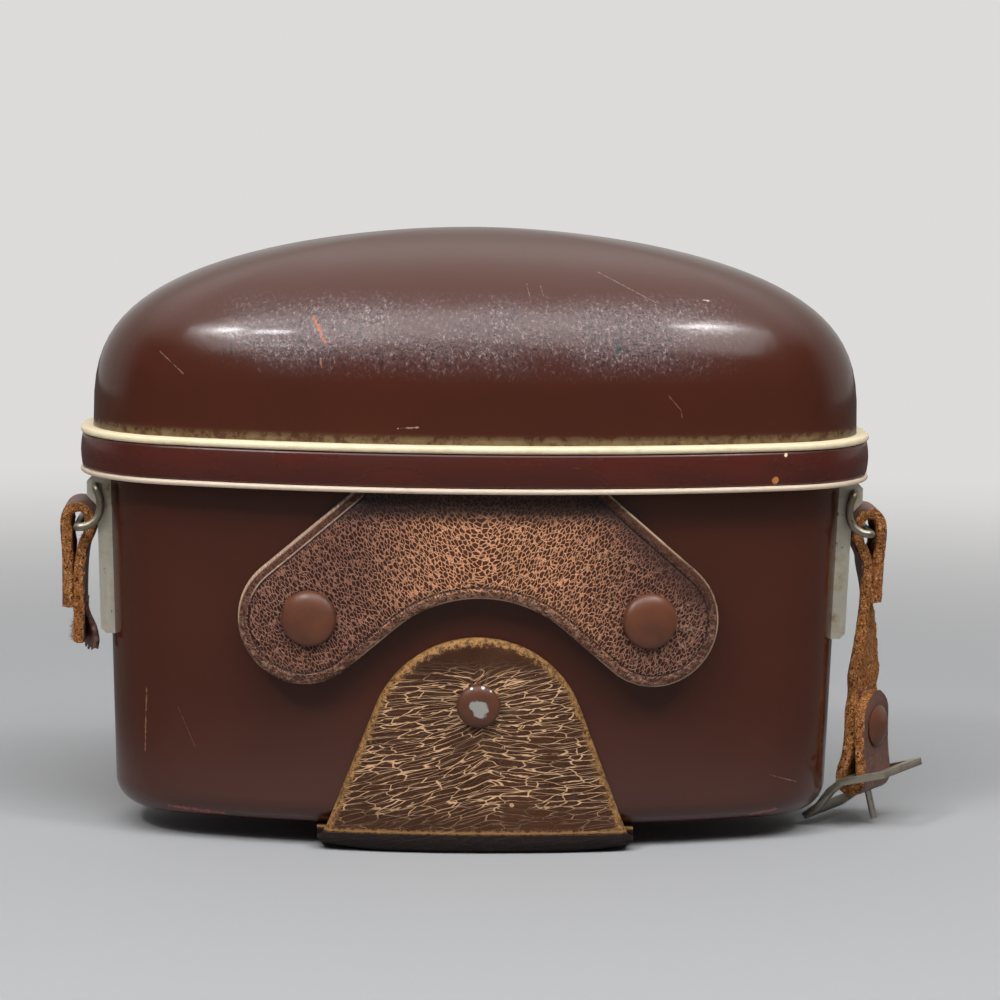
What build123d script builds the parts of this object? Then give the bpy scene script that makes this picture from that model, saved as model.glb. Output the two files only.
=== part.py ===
"""Hard camera case: a deep moulded tub, a domed lid on a leather hinge, a snap-down leather flap,
side lugs with wire bails, a torn strap stub and a strap with a centre-bar buckle.

Millimetres, +Z up. The origin is on the table, at the middle of the case's plan. The front is at -Y.
"""
import os
from math import asin, atan, atan2, cos, degrees, hypot, pi, radians, sin, sqrt

from build123d import *

# Plan outline of the lid band, seen from above: bowed faces with rounded corners
BAND_HALF_WIDTH = 89.0
BAND_HALF_DEPTH = 44.0
FRONT_BOW = 11.0
SIDE_BOW = 0.1
CORNER_LIMIT = 30.5
CORNER_MARGIN = 1.0

# Heights
TUB_HEIGHT = 75.5
RIM_HEIGHT = 5.6
LOWER_TRIM_HEIGHT = 1.2
BAND_HEIGHT = 7.6
UPPER_TRIM_HEIGHT = 1.6
DOME_HEIGHT = 45.1

# Walls and how far each outline lies inside the band's outline
SHELL_WALL = 2.4
TUB_FLOOR = 2.6
TUB_FOOT_INSET = 8.4
DOME_STEP = 2.8
RIM_CLEARANCE = 0.6
FOOT_RADIUS = 6.0
SEAT_RIB_WIDTH = 2.4
SEAT_RIB_HEIGHT = 2.0
SEAT_CLEARANCE = 0.3
TOUCH = 0.05
FLAT_GAP = 0.1
OVERCUT = 1.0
DEEP = 12.0
HOLE_LENGTH = 48.0

# The dome's section: height share to the first power plus scale to the second power is one
DOME_HEIGHT_POWER = 3.24
DOME_WIDTH_POWER = 1.79
DOME_STATIONS = (0.0, 0.22, 0.42, 0.58, 0.71, 0.81, 0.885, 0.94, 0.975, 0.994)

# Felt
FELT = 1.5
FLOOR_FELT = 3.5
FELT_HOLE_MARGIN = 0.6
LINING_TOP_GAP = 6.0

# Leather
TAB_LEATHER = 2.4
REAR_LEATHER = 2.5
FLAP_LEATHER = 2.3
STRAP_LEATHER = 2.5
STRAP_WIDTH = 14.0
LEATHER_GAP = 0.3

# Front flap: two round lobes joined by an arch, with a neck that goes up behind the band
FLAP_NECK_HALF = 27.5
LOBE_X = 38.5
LOBE_DROP = 28.4
LOBE_RADIUS = 14.2
ARCH_RADIUS = 28.0
ARCH_DROP = 51.0
FLAP_LEAN = 2.2
HINGE_DROP = 2.3
HINGE_CHORD = 0.9
HINGE_GAP = 0.6
FLAP_SHEET_MARGIN = 2.0
NOTCH_COVER = 1.0

# Snap fasteners on the flap
SNAP_X = 37.4
SNAP_DROP = 28.1
SNAP_CAP_RADIUS = 6.1
SNAP_CAP_RISE = 2.6
SNAP_POST_RADIUS = 1.8
SOCKET_RADIUS = 5.4
SOCKET_BORE = 2.75
SOCKET_ROOF = 0.6
SOCKET_LENGTH = 1.9
STUD_RADIUS = 2.3
STUD_HEIGHT = 1.9
STUD_FLANGE_RADIUS = 4.2
STUD_FLANGE = 0.5

# Fan-shaped tab on the front and the strip under the base
TAB_TOP = 43.3
TAB_ARC_RADIUS = 24.0
BASE_STRIP_HALF = 35.0
TAB_BACK_EDGE = 29.0
REAR_FRONT_EDGE = -28.0
HINGE_STRAP_HALF = 30.0
FOLD_RADIUS = 2.6

# Small rivets: a domed cap outside, a washer inside
RIVET_CAP_RADIUS = 4.75
RIVET_CAP_RISE = 2.1
CAP_RIM = 0.5
RIVET_SHANK = 1.5
WASHER_RADIUS = 4.5
CLENCH_RADIUS = 3.75
WASHER = 0.8
TAB_RIVET_Z = 33.5
REAR_RIVET_X = 18.0
REAR_RIVET_Z = 58.0
BASE_RIVET_X = 22.0
BASE_RIVET_Y = 15.0
BASE_HEAD_RADIUS = 4.0
BASE_HEAD = 0.9
BASE_HEAD_RECESS = 0.3

# Side lugs: a bent sheet channel with a widened, pierced top
LUG_HALF_WIDTH = 9.5
LUG_SHEET = 1.2
LUG_LENGTH = 35.8
LUG_TOP_GAP = 0.4
LUG_FLANGE = 2.1
LUG_EAR = 4.2
LUG_EAR_HEIGHT = 4.6
LUG_EAR_BEVEL = 1.4
LUG_NECK_DROP = 2.4
LUG_TOE = 1.2
LUG_SINK = 6.0
LUG_HOLE_DROP = 2.8
LUG_RIVET_DROPS = (17.0, 29.0)
LUG_RIVET_HEAD = 3.0
LUG_RIVET_HEAD_HEIGHT = 0.7

# Wire bails
WIRE_RADIUS = 0.9
PIN_CLEARANCE = 0.05
BAIL_CLEARANCE = 0.3
BAIL_BAR_OUT = 4.2
BAIL_BAR_DOWN = 9.0
BAIL_PIN_LENGTH = 2.4
BAIL_BENDS = ((-0.8, 1.7), (-1.1, 4.6), (-0.4, 6.9), (1.5, 8.5))

# Strap loops over the bail bars
LOOP_SLACK = 0.6
LOOP_RISE = 5.6
LOOP_SHOULDER = 2.2
LOOP_LOW = 1.6
LOOP_MERGE = 6.4
LOOP_LEAN = 1.0
LAYER_OVERLAP = 0.02
STUB_LENGTH = 27.0
STUB_OUTER_LENGTH = 18.6

# Right strap: its layers, how it turns and bows on the way down, and its riveted fold
STRAP_TURN = -32.0
STRAP_BOW = 0.7
TWIST_DROP = 8.2
OUTER_TAIL = 16.0
TWIST_STEPS = 6
FOLD_SLACK = 0.45
FOLD_MEET_RISE = 6.5
FOLD_MID = 0.5
TAIL_RISE = 19.7
TWIST_END_RISE = 21.7
STRAP_RIVET_RISE = 11.7

# Centre-bar buckle: its rail is bent at these places, given across and above the bar
BUCKLE_BAR_OUT = 0.9
BUCKLE_BAR_Z = 11.3
BAR_RADIUS = 0.9
BUCKLE_HALF_WIDTH = 10.4
BUCKLE_RAIL = 2.2
BUCKLE_SHEET = 1.6
BUCKLE_END = 2.6
BUCKLE_BENDS = ((-10.0, -9.2), (-6.4, -6.4), (-3.8, -2.8), (-1.0, -0.4), (10.0, 2.6))
PRONG_RADIUS = 0.8
PRONG_WIDTH = 1.9
PRONG_SLOT = 4.4
PRONG_SLOT_RISE = 5.5
PRONG_DROP = 9.9
PRONG_LEAN = 3.0

# Levels that follow from the sizes above
BASE_Z = TAB_LEATHER + REAR_LEATHER
SEAM_Z = BASE_Z + TUB_HEIGHT
RIM_Z = SEAM_Z + RIM_HEIGHT
BAND_Z = SEAM_Z + LOWER_TRIM_HEIGHT
UPPER_TRIM_Z = BAND_Z + BAND_HEIGHT
DOME_Z = UPPER_TRIM_Z + UPPER_TRIM_HEIGHT
SKIRT_INNER = DOME_STEP + SHELL_WALL
RIM_INSET = SKIRT_INNER + RIM_CLEARANCE
HINGE_Z = SEAM_Z - HINGE_DROP
NOTCH_Z = UPPER_TRIM_Z - NOTCH_COVER
INNER_FOOT_RADIUS = FOOT_RADIUS - min(SHELL_WALL, TUB_FLOOR)
LINING_Z = BASE_Z + TUB_FLOOR + max(FLOOR_FELT, INNER_FOOT_RADIUS) + FLAT_GAP
REACH = 2.0 * (BAND_HALF_WIDTH + BAND_HALF_DEPTH)

# Plan arcs that follow: the corner arc's centre, and the bows that run into it without a kink
CORNER_RADIUS = min(CORNER_LIMIT, BAND_HALF_DEPTH - FRONT_BOW - CORNER_MARGIN)
CORNER_X = BAND_HALF_WIDTH - SIDE_BOW - CORNER_RADIUS
CORNER_Y = BAND_HALF_DEPTH - FRONT_BOW - CORNER_RADIUS
FRONT_REACH = BAND_HALF_DEPTH - CORNER_Y
SIDE_REACH = BAND_HALF_WIDTH - CORNER_X
FRONT_BOW_RADIUS = (CORNER_X**2 + FRONT_REACH**2 - CORNER_RADIUS**2) / (2 * FRONT_BOW)
SIDE_BOW_RADIUS = (CORNER_Y**2 + SIDE_REACH**2 - CORNER_RADIUS**2) / (2 * SIDE_BOW)


def outline(inset, z, scale=1.0):
    """The plan outline as a face, moved in by inset, then scaled about the middle."""
    front_y = FRONT_BOW_RADIUS - BAND_HALF_DEPTH
    side_x = BAND_HALF_WIDTH - SIDE_BOW_RADIUS
    bow_half = degrees(atan2(CORNER_X, front_y + CORNER_Y))
    side_half = degrees(atan2(CORNER_Y, CORNER_X - side_x))
    corner = 90.0 - bow_half - side_half
    centres = (
        ((0, front_y), FRONT_BOW_RADIUS, -90.0 - bow_half, 2 * bow_half),
        ((CORNER_X, -CORNER_Y), CORNER_RADIUS, -90.0 + bow_half, corner),
        ((side_x, 0), SIDE_BOW_RADIUS, -side_half, 2 * side_half),
        ((CORNER_X, CORNER_Y), CORNER_RADIUS, side_half, corner),
        ((0, -front_y), FRONT_BOW_RADIUS, 90.0 - bow_half, 2 * bow_half),
        ((-CORNER_X, CORNER_Y), CORNER_RADIUS, 90.0 + bow_half, corner),
        ((-side_x, 0), SIDE_BOW_RADIUS, 180.0 - side_half, 2 * side_half),
        ((-CORNER_X, -CORNER_Y), CORNER_RADIUS, 180.0 + side_half, corner),
    )
    arcs = [
        CenterArc((x * scale, y * scale), (radius - inset) * scale, start, size)
        for (x, y), radius, start, size in centres
    ]
    return Pos(0, 0, z) * make_face(Wire(arcs))


def tub_inset(z):
    """How far the tub's outside lies inside the band's outline at height z."""
    share = (z - BASE_Z) / (RIM_Z - BASE_Z)
    return TUB_FOOT_INSET + (RIM_INSET - TUB_FOOT_INSET) * share


TUB_TILT = degrees(atan((TUB_FOOT_INSET - RIM_INSET) / (RIM_Z - BASE_Z)))


def tapered(low_inset, low_z, high_inset, high_z):
    return loft([outline(low_inset, low_z), outline(high_inset, high_z)], ruled=True)


def around_tub(offset, low_z, high_z):
    """A solid whose sides lie outside the tub's sides by offset."""
    return tapered(tub_inset(low_z) - offset, low_z, tub_inset(high_z) - offset, high_z)


def ring(outer_inset, inner_inset, low_z, height):
    return extrude(outline(outer_inset, low_z), height) - extrude(outline(inner_inset, low_z), height)


def block(x0, x1, y0, y1, z0, z1):
    size = Box(x1 - x0, y1 - y0, z1 - z0)
    return Pos((x0 + x1) / 2, (y0 + y1) / 2, (z0 + z1) / 2) * size


def low_edges(shape, z):
    return shape.edges().filter_by(lambda e: abs(e.center().Z - z) < 0.01)


def prism_y(face_points, y0, y1):
    """A closed outline in X and Z, drawn through along Y."""
    face = make_face(Polyline(*[(x, y0, z) for x, z in face_points], close=True))
    return extrude(face, y1 - y0, dir=(0, 1, 0))


def front_y(x, inset):
    """Y of the bowed front at x, for an outline moved in by inset."""
    reach = FRONT_BOW_RADIUS - inset
    return FRONT_BOW_RADIUS - BAND_HALF_DEPTH - sqrt(reach**2 - x**2)


def front_pin(x, z, inset, tilt):
    """A place inset from the band's front at x, whose Z axis points straight out, tilted down."""
    turn = asin(x / FRONT_BOW_RADIUS)
    reach = FRONT_BOW_RADIUS - inset
    place = Pos(reach * sin(turn), FRONT_BOW_RADIUS - BAND_HALF_DEPTH - reach * cos(turn), z)
    return place * Rot(0, 0, degrees(turn)) * Rot(90 + tilt, 0, 0)


def tub_pin(x, z):
    """A place on the tub's front, square to its wall."""
    return front_pin(x, z, tub_inset(z), TUB_TILT)


def back_pin(x, z):
    return Rot(0, 0, 180) * tub_pin(-x, z)


def side_x(inset):
    return BAND_HALF_WIDTH - inset


def side_pin(z):
    """A place on the tub's right side, square to its wall."""
    return Pos(side_x(tub_inset(z)), 0, z) * Rot(0, 90 + TUB_TILT, 0)


def disc(radius, height, start=0.0):
    return Pos(0, 0, start + height / 2) * Cylinder(radius, height)


def cap(radius, rise):
    """A low dome over a short rim, standing on Z = 0."""
    arch = rise - CAP_RIM
    ball = (radius**2 + arch**2) / (2 * arch)
    dome = Pos(0, 0, rise - ball) * Sphere(ball)
    return disc(radius, rise) & dome + disc(radius, CAP_RIM)


def mirrored(shape):
    return mirror(shape, Plane.YZ)


def write(shape, name):
    export_step(shape, f"parts/{name}.step")


def dome(inset, apex):
    """The dome's closed outside, or a smaller one for its inside."""
    sections = []
    for share in DOME_STATIONS:
        scale = (1 - share**DOME_HEIGHT_POWER) ** (1 / DOME_WIDTH_POWER)
        sections.append(outline(inset, DOME_Z + share * (apex - DOME_Z), scale))
    return loft(sections)


def leather_notches():
    """Room in the lid's skirt and lower trim for the flap's root and the hinge's root."""
    low_z = SEAM_Z - OVERCUT
    back_half = HINGE_STRAP_HALF + LEATHER_GAP
    front_half = FLAP_NECK_HALF + LEATHER_GAP
    back = block(-back_half, back_half, 0, REACH, low_z, NOTCH_Z)
    front = block(-front_half, front_half, -REACH, 0, low_z, NOTCH_Z)
    inside = extrude(outline(DOME_STEP, low_z), NOTCH_Z - low_z)
    return (back + front) & inside


def pierce(shape, holes):
    for hole in holes:
        shape -= hole
    return shape


# Places of the fasteners through the tub's walls
SNAP_Z = SEAM_Z - SNAP_DROP
SNAPS = [tub_pin(x, SNAP_Z) for x in (-SNAP_X, SNAP_X)]
TAB_RIVET = tub_pin(0, TAB_RIVET_Z)
REAR_RIVETS = [back_pin(x, REAR_RIVET_Z) for x in (-REAR_RIVET_X, REAR_RIVET_X)]
LUG_TOP_Z = SEAM_Z - LUG_TOP_GAP
RIGHT_LUG_RIVETS = [side_pin(LUG_TOP_Z - drop) for drop in LUG_RIVET_DROPS]
LEFT_LUG_RIVETS = [Rot(0, 0, 180) * place for place in RIGHT_LUG_RIVETS]
BASE_RIVETS = [Pos(x, y, 0) for x in (-BASE_RIVET_X, BASE_RIVET_X) for y in (-BASE_RIVET_Y, BASE_RIVET_Y)]
WALL_RIVETS = [TAB_RIVET] + REAR_RIVETS
LUG_RIVETS = RIGHT_LUG_RIVETS + LEFT_LUG_RIVETS


def shank_holes(places, radius):
    return [place * Cylinder(radius, HOLE_LENGTH) for place in places]


def wall_holes():
    """Holes through the tub's walls for the studs and rivets."""
    return shank_holes(SNAPS + WALL_RIVETS + LUG_RIVETS + BASE_RIVETS, RIVET_SHANK + TOUCH)


def felt_holes():
    """Round windows in the felt over the washers and clenched ends."""
    wide = shank_holes(SNAPS + WALL_RIVETS + BASE_RIVETS, WASHER_RADIUS + FELT_HOLE_MARGIN)
    return wide + shank_holes(LUG_RIVETS, LUG_RIVET_HEAD + FELT_HOLE_MARGIN)


def tub_outside():
    body = around_tub(0, BASE_Z, RIM_Z)
    return fillet(low_edges(body, BASE_Z), FOOT_RADIUS)


def tub_inside(top_z):
    floor_z = BASE_Z + TUB_FLOOR
    body = around_tub(-SHELL_WALL, floor_z, top_z)
    return fillet(low_edges(body, floor_z), INNER_FOOT_RADIUS)


def tub_shell(outside):
    return pierce(outside - tub_inside(RIM_Z + OVERCUT), wall_holes())


def tub_lining():
    top = SEAM_Z - LINING_TOP_GAP
    inside = around_tub(-SHELL_WALL - FELT, LINING_Z - OVERCUT, top + OVERCUT)
    skin = around_tub(-SHELL_WALL - TOUCH, LINING_Z, top) - inside
    return pierce(skin, felt_holes())


def floor_pad():
    floor_z = BASE_Z + TUB_FLOOR
    pad = tub_inside(RIM_Z) & block(-REACH, REACH, -REACH, REACH, floor_z, floor_z + FLOOR_FELT)
    return pierce(pad, felt_holes())


def lid_shell():
    outside = extrude(outline(DOME_STEP, BAND_Z), DOME_Z - BAND_Z) + dome(DOME_STEP, DOME_Z + DOME_HEIGHT)
    inside = extrude(outline(SKIRT_INNER, BAND_Z), DOME_Z - BAND_Z)
    inside += dome(SKIRT_INNER, DOME_Z + DOME_HEIGHT - SHELL_WALL)
    rib_z = RIM_Z + SEAT_CLEARANCE
    rib = ring(SKIRT_INNER - TOUCH, SKIRT_INNER + SEAT_RIB_WIDTH, rib_z, SEAT_RIB_HEIGHT)
    return outside - inside + rib - leather_notches()


def lid_lining():
    low = RIM_Z + SEAT_CLEARANCE + SEAT_RIB_HEIGHT + TOUCH
    outer = SKIRT_INNER + TOUCH
    apex = DOME_Z + DOME_HEIGHT - SHELL_WALL - TOUCH
    outside = extrude(outline(outer, low), DOME_Z - low) + dome(outer, apex)
    inside = extrude(outline(outer + FELT, low), DOME_Z - low) + dome(outer + FELT, apex - FELT)
    return outside - inside


def lobe_points():
    """The flap's outline in X and Z: neck, lobes and the arch between them."""
    lobe_z = SEAM_Z - LOBE_DROP
    arch_z = SEAM_Z - ARCH_DROP
    apart_z = lobe_z - arch_z
    apart = hypot(LOBE_X, apart_z)
    lean = atan2(apart_z, LOBE_X)
    cross = (LOBE_RADIUS + ARCH_RADIUS) / apart
    turn = lean + atan2(sqrt(1 - cross**2), cross)
    on_arch = (ARCH_RADIUS * cos(turn), arch_z + ARCH_RADIUS * sin(turn))
    on_lobe = (LOBE_X - LOBE_RADIUS * cos(turn), lobe_z - LOBE_RADIUS * sin(turn))
    neck = (FLAP_NECK_HALF, SEAM_Z)
    to_neck = hypot(neck[0] - LOBE_X, neck[1] - lobe_z)
    neck_turn = atan2(neck[1] - lobe_z, neck[0] - LOBE_X)
    outer = neck_turn - atan2(sqrt(to_neck**2 - LOBE_RADIUS**2), LOBE_RADIUS)
    on_shoulder = (LOBE_X + LOBE_RADIUS * cos(outer), lobe_z + LOBE_RADIUS * sin(outer))
    low_turn = (outer + turn - pi) / 2
    lobe_low = (LOBE_X + LOBE_RADIUS * cos(low_turn), lobe_z + LOBE_RADIUS * sin(low_turn))
    arch_top = (0.0, arch_z + ARCH_RADIUS)
    return neck, on_shoulder, lobe_low, on_lobe, on_arch, arch_top


def flap_prism():
    """The flap's outline drawn through along Y, with its neck cut off at the hinge."""
    neck, shoulder, lobe_low, on_lobe, on_arch, arch_top = lobe_points()
    far = -REACH

    def at(point, side=1):
        return (side * point[0], far, point[1])

    edges = [
        Line(at(neck, -1), at(neck)),
        Line(at(neck), at(shoulder)),
        ThreePointArc(at(shoulder), at(lobe_low), at(on_lobe)),
        Line(at(on_lobe), at(on_arch)),
        ThreePointArc(at(on_arch), at(arch_top), at(on_arch, -1)),
        Line(at(on_arch, -1), at(on_lobe, -1)),
        ThreePointArc(at(on_lobe, -1), at(lobe_low, -1), at(shoulder, -1)),
        Line(at(shoulder, -1), at(neck, -1)),
    ]
    return extrude(make_face(Wire(edges)), REACH, dir=(0, 1, 0))


FLAP_INSET = SKIRT_INNER - TOUCH
FLAP_LOW_Z = SEAM_Z - LOBE_DROP - LOBE_RADIUS - FLAP_SHEET_MARGIN
FLAP_HINGE_Y = -(BAND_HALF_DEPTH - FLAP_INSET + FLAP_LEATHER / 2 - HINGE_CHORD)
LID_HINGE_Y = -FLAP_HINGE_Y

# What turns about a hinge line reaches this far from it, and the pieces that stay keep clear of that
HINGE_REACH = BAND_HALF_DEPTH - DOME_STEP - TOUCH - LID_HINGE_Y
HINGE_CLEAR = max(HINGE_REACH, FLAP_LEATHER / 2) + HINGE_GAP


def flap_inset(z):
    """How far the flap's inner face lies inside the band's outline at height z."""
    return FLAP_INSET - FLAP_LEAN * (HINGE_Z - z) / (HINGE_Z - FLAP_LOW_Z)


FLAP_TILT = -degrees(atan(FLAP_LEAN / (HINGE_Z - FLAP_LOW_Z)))
FLAP_SNAPS = [front_pin(x, SNAP_Z, flap_inset(SNAP_Z), FLAP_TILT) for x in (-SNAP_X, SNAP_X)]


def flap_sheet(low_z, high_z):
    low = flap_inset(low_z)
    high = flap_inset(high_z)
    outer = tapered(low - FLAP_LEATHER, low_z, high - FLAP_LEATHER, high_z)
    return outer - tapered(low, low_z, high, high_z)


def hinge_roll(y, half_length, radius):
    """The rounded end of a leather strip, on its hinge line."""
    return Pos(0, y, HINGE_Z) * Rot(0, 90, 0) * Cylinder(radius, 2 * half_length)


def front_flap():
    half = FLAP_LEATHER / 2
    sheet = flap_sheet(FLAP_LOW_Z, HINGE_Z) & flap_prism()
    roll = hinge_roll(FLAP_HINGE_Y, FLAP_NECK_HALF, half)
    body = sheet + roll
    return pierce(body, shank_holes(FLAP_SNAPS, SNAP_POST_RADIUS + TOUCH))


def root(half_width, low_z, y_sign):
    """Leather glued up into the lid's skirt, between the band and the tub's rim."""
    leather = ring(DOME_STEP + TOUCH, SKIRT_INNER - TOUCH, low_z, NOTCH_Z - low_z)
    strip = block(-half_width, half_width, min(0, y_sign * REACH), max(0, y_sign * REACH), low_z, NOTCH_Z)
    return leather & strip


def flap_root():
    return root(FLAP_NECK_HALF, HINGE_Z + HINGE_CLEAR, -1)


def hinge_root():
    half = FLAP_LEATHER / 2
    return root(HINGE_STRAP_HALF, HINGE_Z, 1) + hinge_roll(LID_HINGE_Y, HINGE_STRAP_HALF, half)


def snap_caps():
    """Domed caps on the flap, each with its post through the leather."""
    post = disc(SNAP_POST_RADIUS, FLAP_LEATHER + TOUCH)
    piece = Pos(0, 0, FLAP_LEATHER + TOUCH) * cap(SNAP_CAP_RADIUS, SNAP_CAP_RISE) + post
    return Compound(children=[place * piece for place in FLAP_SNAPS])


def snap_sockets():
    """Sockets on the flap's inner face, each over its stud."""
    low = -FLAT_GAP - SOCKET_LENGTH
    cup = disc(SOCKET_RADIUS, SOCKET_LENGTH, low)
    bore = disc(SOCKET_BORE, SOCKET_LENGTH - SOCKET_ROOF, low)
    return Compound(children=[place * (cup - bore) for place in FLAP_SNAPS])


def snap_studs():
    flange = disc(STUD_FLANGE_RADIUS, STUD_FLANGE, TOUCH)
    stud = disc(STUD_RADIUS, STUD_HEIGHT, TOUCH)
    shank = disc(RIVET_SHANK, SHELL_WALL + WASHER + TOUCH, -SHELL_WALL - WASHER)
    piece = flange + stud + shank
    return Compound(children=[place * piece for place in SNAPS])


def washer_at(place, depth):
    """A washer against the tub's inner wall."""
    ring_part = disc(WASHER_RADIUS, WASHER, -depth - TOUCH - WASHER)
    return place * (ring_part - disc(RIVET_SHANK + TOUCH, 4 * WASHER, -depth - 3 * WASHER))


def stud_backs():
    return Compound(children=[washer_at(place, SHELL_WALL + FLAT_GAP) for place in SNAPS])


def rivet_piece(leather):
    """A domed rivet through the leather, the tub's wall and the washer."""
    inner = SHELL_WALL + WASHER + 2 * FLAT_GAP
    shank = disc(RIVET_SHANK, leather + inner, -inner)
    return shank + Pos(0, 0, leather) * cap(RIVET_CAP_RADIUS, RIVET_CAP_RISE)


def tab_outline():
    """The fan: a round top with straight sides down to the fold."""
    centre_z = TAB_TOP + BASE_Z - TAB_ARC_RADIUS
    reach = hypot(BASE_STRIP_HALF, centre_z)
    to_tangent = sqrt(reach**2 - TAB_ARC_RADIUS**2)
    turn = atan2(-centre_z, BASE_STRIP_HALF) + atan2(to_tangent, TAB_ARC_RADIUS)
    shoulder = (TAB_ARC_RADIUS * cos(turn), centre_z + TAB_ARC_RADIUS * sin(turn))
    far = -REACH
    edges = [
        Line((-BASE_STRIP_HALF, far, 0), (BASE_STRIP_HALF, far, 0)),
        Line((BASE_STRIP_HALF, far, 0), (shoulder[0], far, shoulder[1])),
        ThreePointArc(
            (shoulder[0], far, shoulder[1]),
            (0, far, centre_z + TAB_ARC_RADIUS),
            (-shoulder[0], far, shoulder[1]),
        ),
        Line((-shoulder[0], far, shoulder[1]), (-BASE_STRIP_HALF, far, 0)),
    ]
    return extrude(make_face(Wire(edges)), REACH, dir=(0, 1, 0))


def front_tab(outside):
    """One leather piece: the fan on the front, folded under as the outer layer of the base."""
    top = BASE_Z + TAB_TOP + OVERCUT
    jacket = around_tub(TAB_LEATHER, 0, top)
    jacket = fillet(low_edges(jacket, 0), FOLD_RADIUS)
    fold_y = front_y(0, TUB_FOOT_INSET) + FOOT_RADIUS
    under = block(-REACH, REACH, fold_y, REACH, TAB_LEATHER, REACH)
    fan = (jacket & tab_outline()) - outside - under
    strip = block(-BASE_STRIP_HALF, BASE_STRIP_HALF, -REACH, TAB_BACK_EDGE, 0, TAB_LEATHER)
    strip = strip & jacket
    leather = fan + strip - block(-REACH, REACH, TAB_BACK_EDGE, REACH, -OVERCUT, REACH)
    leather -= rear_layer()
    sink = disc(BASE_HEAD_RADIUS + TOUCH, BASE_HEAD + BASE_HEAD_RECESS + TOUCH)
    heads = [place * sink for place in BASE_RIVETS]
    return pierce(leather, heads + shank_holes([TAB_RIVET] + BASE_RIVETS, RIVET_SHANK + TOUCH))


def rear_layer():
    """The inner base layer alone, flat under the tub."""
    plate = block(-BASE_STRIP_HALF, BASE_STRIP_HALF, REAR_FRONT_EDGE, REACH, TAB_LEATHER, BASE_Z)
    return plate & around_tub(REAR_LEATHER, TAB_LEATHER, BASE_Z)


def rear_strap(outside):
    """The inner base layer, carried round the back edge and up to the hinge line."""
    top = HINGE_Z - HINGE_CLEAR
    jacket = around_tub(REAR_LEATHER, TAB_LEATHER, top)
    jacket = fillet(low_edges(jacket, TAB_LEATHER), FOLD_RADIUS)
    sides = [
        (-BASE_STRIP_HALF, 0),
        (BASE_STRIP_HALF, 0),
        (HINGE_STRAP_HALF, top + OVERCUT),
        (-HINGE_STRAP_HALF, top + OVERCUT),
    ]
    up = jacket & prism_y(sides, 0, REACH)
    up -= block(-REACH, REACH, -OVERCUT, -front_y(0, TUB_FOOT_INSET) - FOOT_RADIUS, -OVERCUT, REACH)
    strip = rear_layer()
    leather = (up - outside) + strip - outside
    return pierce(leather, shank_holes(REAR_RIVETS + BASE_RIVETS, RIVET_SHANK + TOUCH))


def base_rivets():
    shank_top = BASE_Z + TUB_FLOOR + WASHER + TOUCH
    shank = disc(RIVET_SHANK, shank_top - BASE_HEAD_RECESS, BASE_HEAD_RECESS)
    head = disc(BASE_HEAD_RADIUS, BASE_HEAD, BASE_HEAD_RECESS)
    return Compound(children=[place * (shank + head) for place in BASE_RIVETS])


def base_washers():
    low = BASE_Z + TUB_FLOOR
    piece = disc(WASHER_RADIUS, WASHER, low) - disc(RIVET_SHANK + TOUCH, 3 * WASHER, low - WASHER)
    return Compound(children=[place * piece for place in BASE_RIVETS])


def flange_points():
    """The lug's flange in X and Z: narrow below, an ear with the bail's hole on top."""
    top_x = side_x(tub_inset(LUG_TOP_Z))
    low_z = LUG_TOP_Z - LUG_LENGTH
    low_x = side_x(tub_inset(low_z))
    neck_z = LUG_TOP_Z - LUG_EAR_HEIGHT
    neck_x = side_x(tub_inset(neck_z - LUG_FLANGE)) + LUG_FLANGE
    return [
        (top_x - LUG_SINK, LUG_TOP_Z),
        (top_x + LUG_EAR - LUG_EAR_BEVEL, LUG_TOP_Z),
        (top_x + LUG_EAR, LUG_TOP_Z - LUG_EAR_BEVEL),
        (top_x + LUG_EAR, neck_z),
        (neck_x, neck_z - LUG_NECK_DROP),
        (low_x + LUG_FLANGE, low_z + LUG_TOE),
        (low_x + LUG_FLANGE - LUG_TOE, low_z),
        (low_x - LUG_SINK, low_z),
    ]


BAIL_X = side_x(tub_inset(LUG_TOP_Z)) + LUG_EAR / 2
BAIL_Z = LUG_TOP_Z - LUG_HOLE_DROP
LOOP_BAR_X = BAIL_X + BAIL_BAR_OUT
LOOP_BAR_Z = BAIL_Z - BAIL_BAR_DOWN


def right_lug(outside):
    web = around_tub(LUG_SHEET, LUG_TOP_Z - LUG_LENGTH, LUG_TOP_Z)
    web = web & block(0, REACH, -LUG_HALF_WIDTH, LUG_HALF_WIDTH, 0, REACH)
    near = prism_y(flange_points(), -LUG_HALF_WIDTH, -LUG_HALF_WIDTH + LUG_SHEET)
    far = prism_y(flange_points(), LUG_HALF_WIDTH - LUG_SHEET, LUG_HALF_WIDTH)
    hole = Pos(BAIL_X, 0, BAIL_Z) * Rot(90, 0, 0) * Cylinder(WIRE_RADIUS + PIN_CLEARANCE, 4 * LUG_HALF_WIDTH)
    body = web + near + far - outside - hole
    return pierce(body, shank_holes(RIGHT_LUG_RIVETS, RIVET_SHANK + TOUCH))


def right_lug_rivets():
    inner = SHELL_WALL + FLAT_GAP
    outer = LUG_SHEET + FLAT_GAP
    shank = disc(RIVET_SHANK, inner + outer, -inner)
    piece = shank + disc(LUG_RIVET_HEAD, LUG_RIVET_HEAD_HEIGHT, outer)
    piece += disc(LUG_RIVET_HEAD, LUG_RIVET_HEAD_HEIGHT, -inner - LUG_RIVET_HEAD_HEIGHT)
    return Compound(children=[place * piece for place in RIGHT_LUG_RIVETS])


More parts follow.
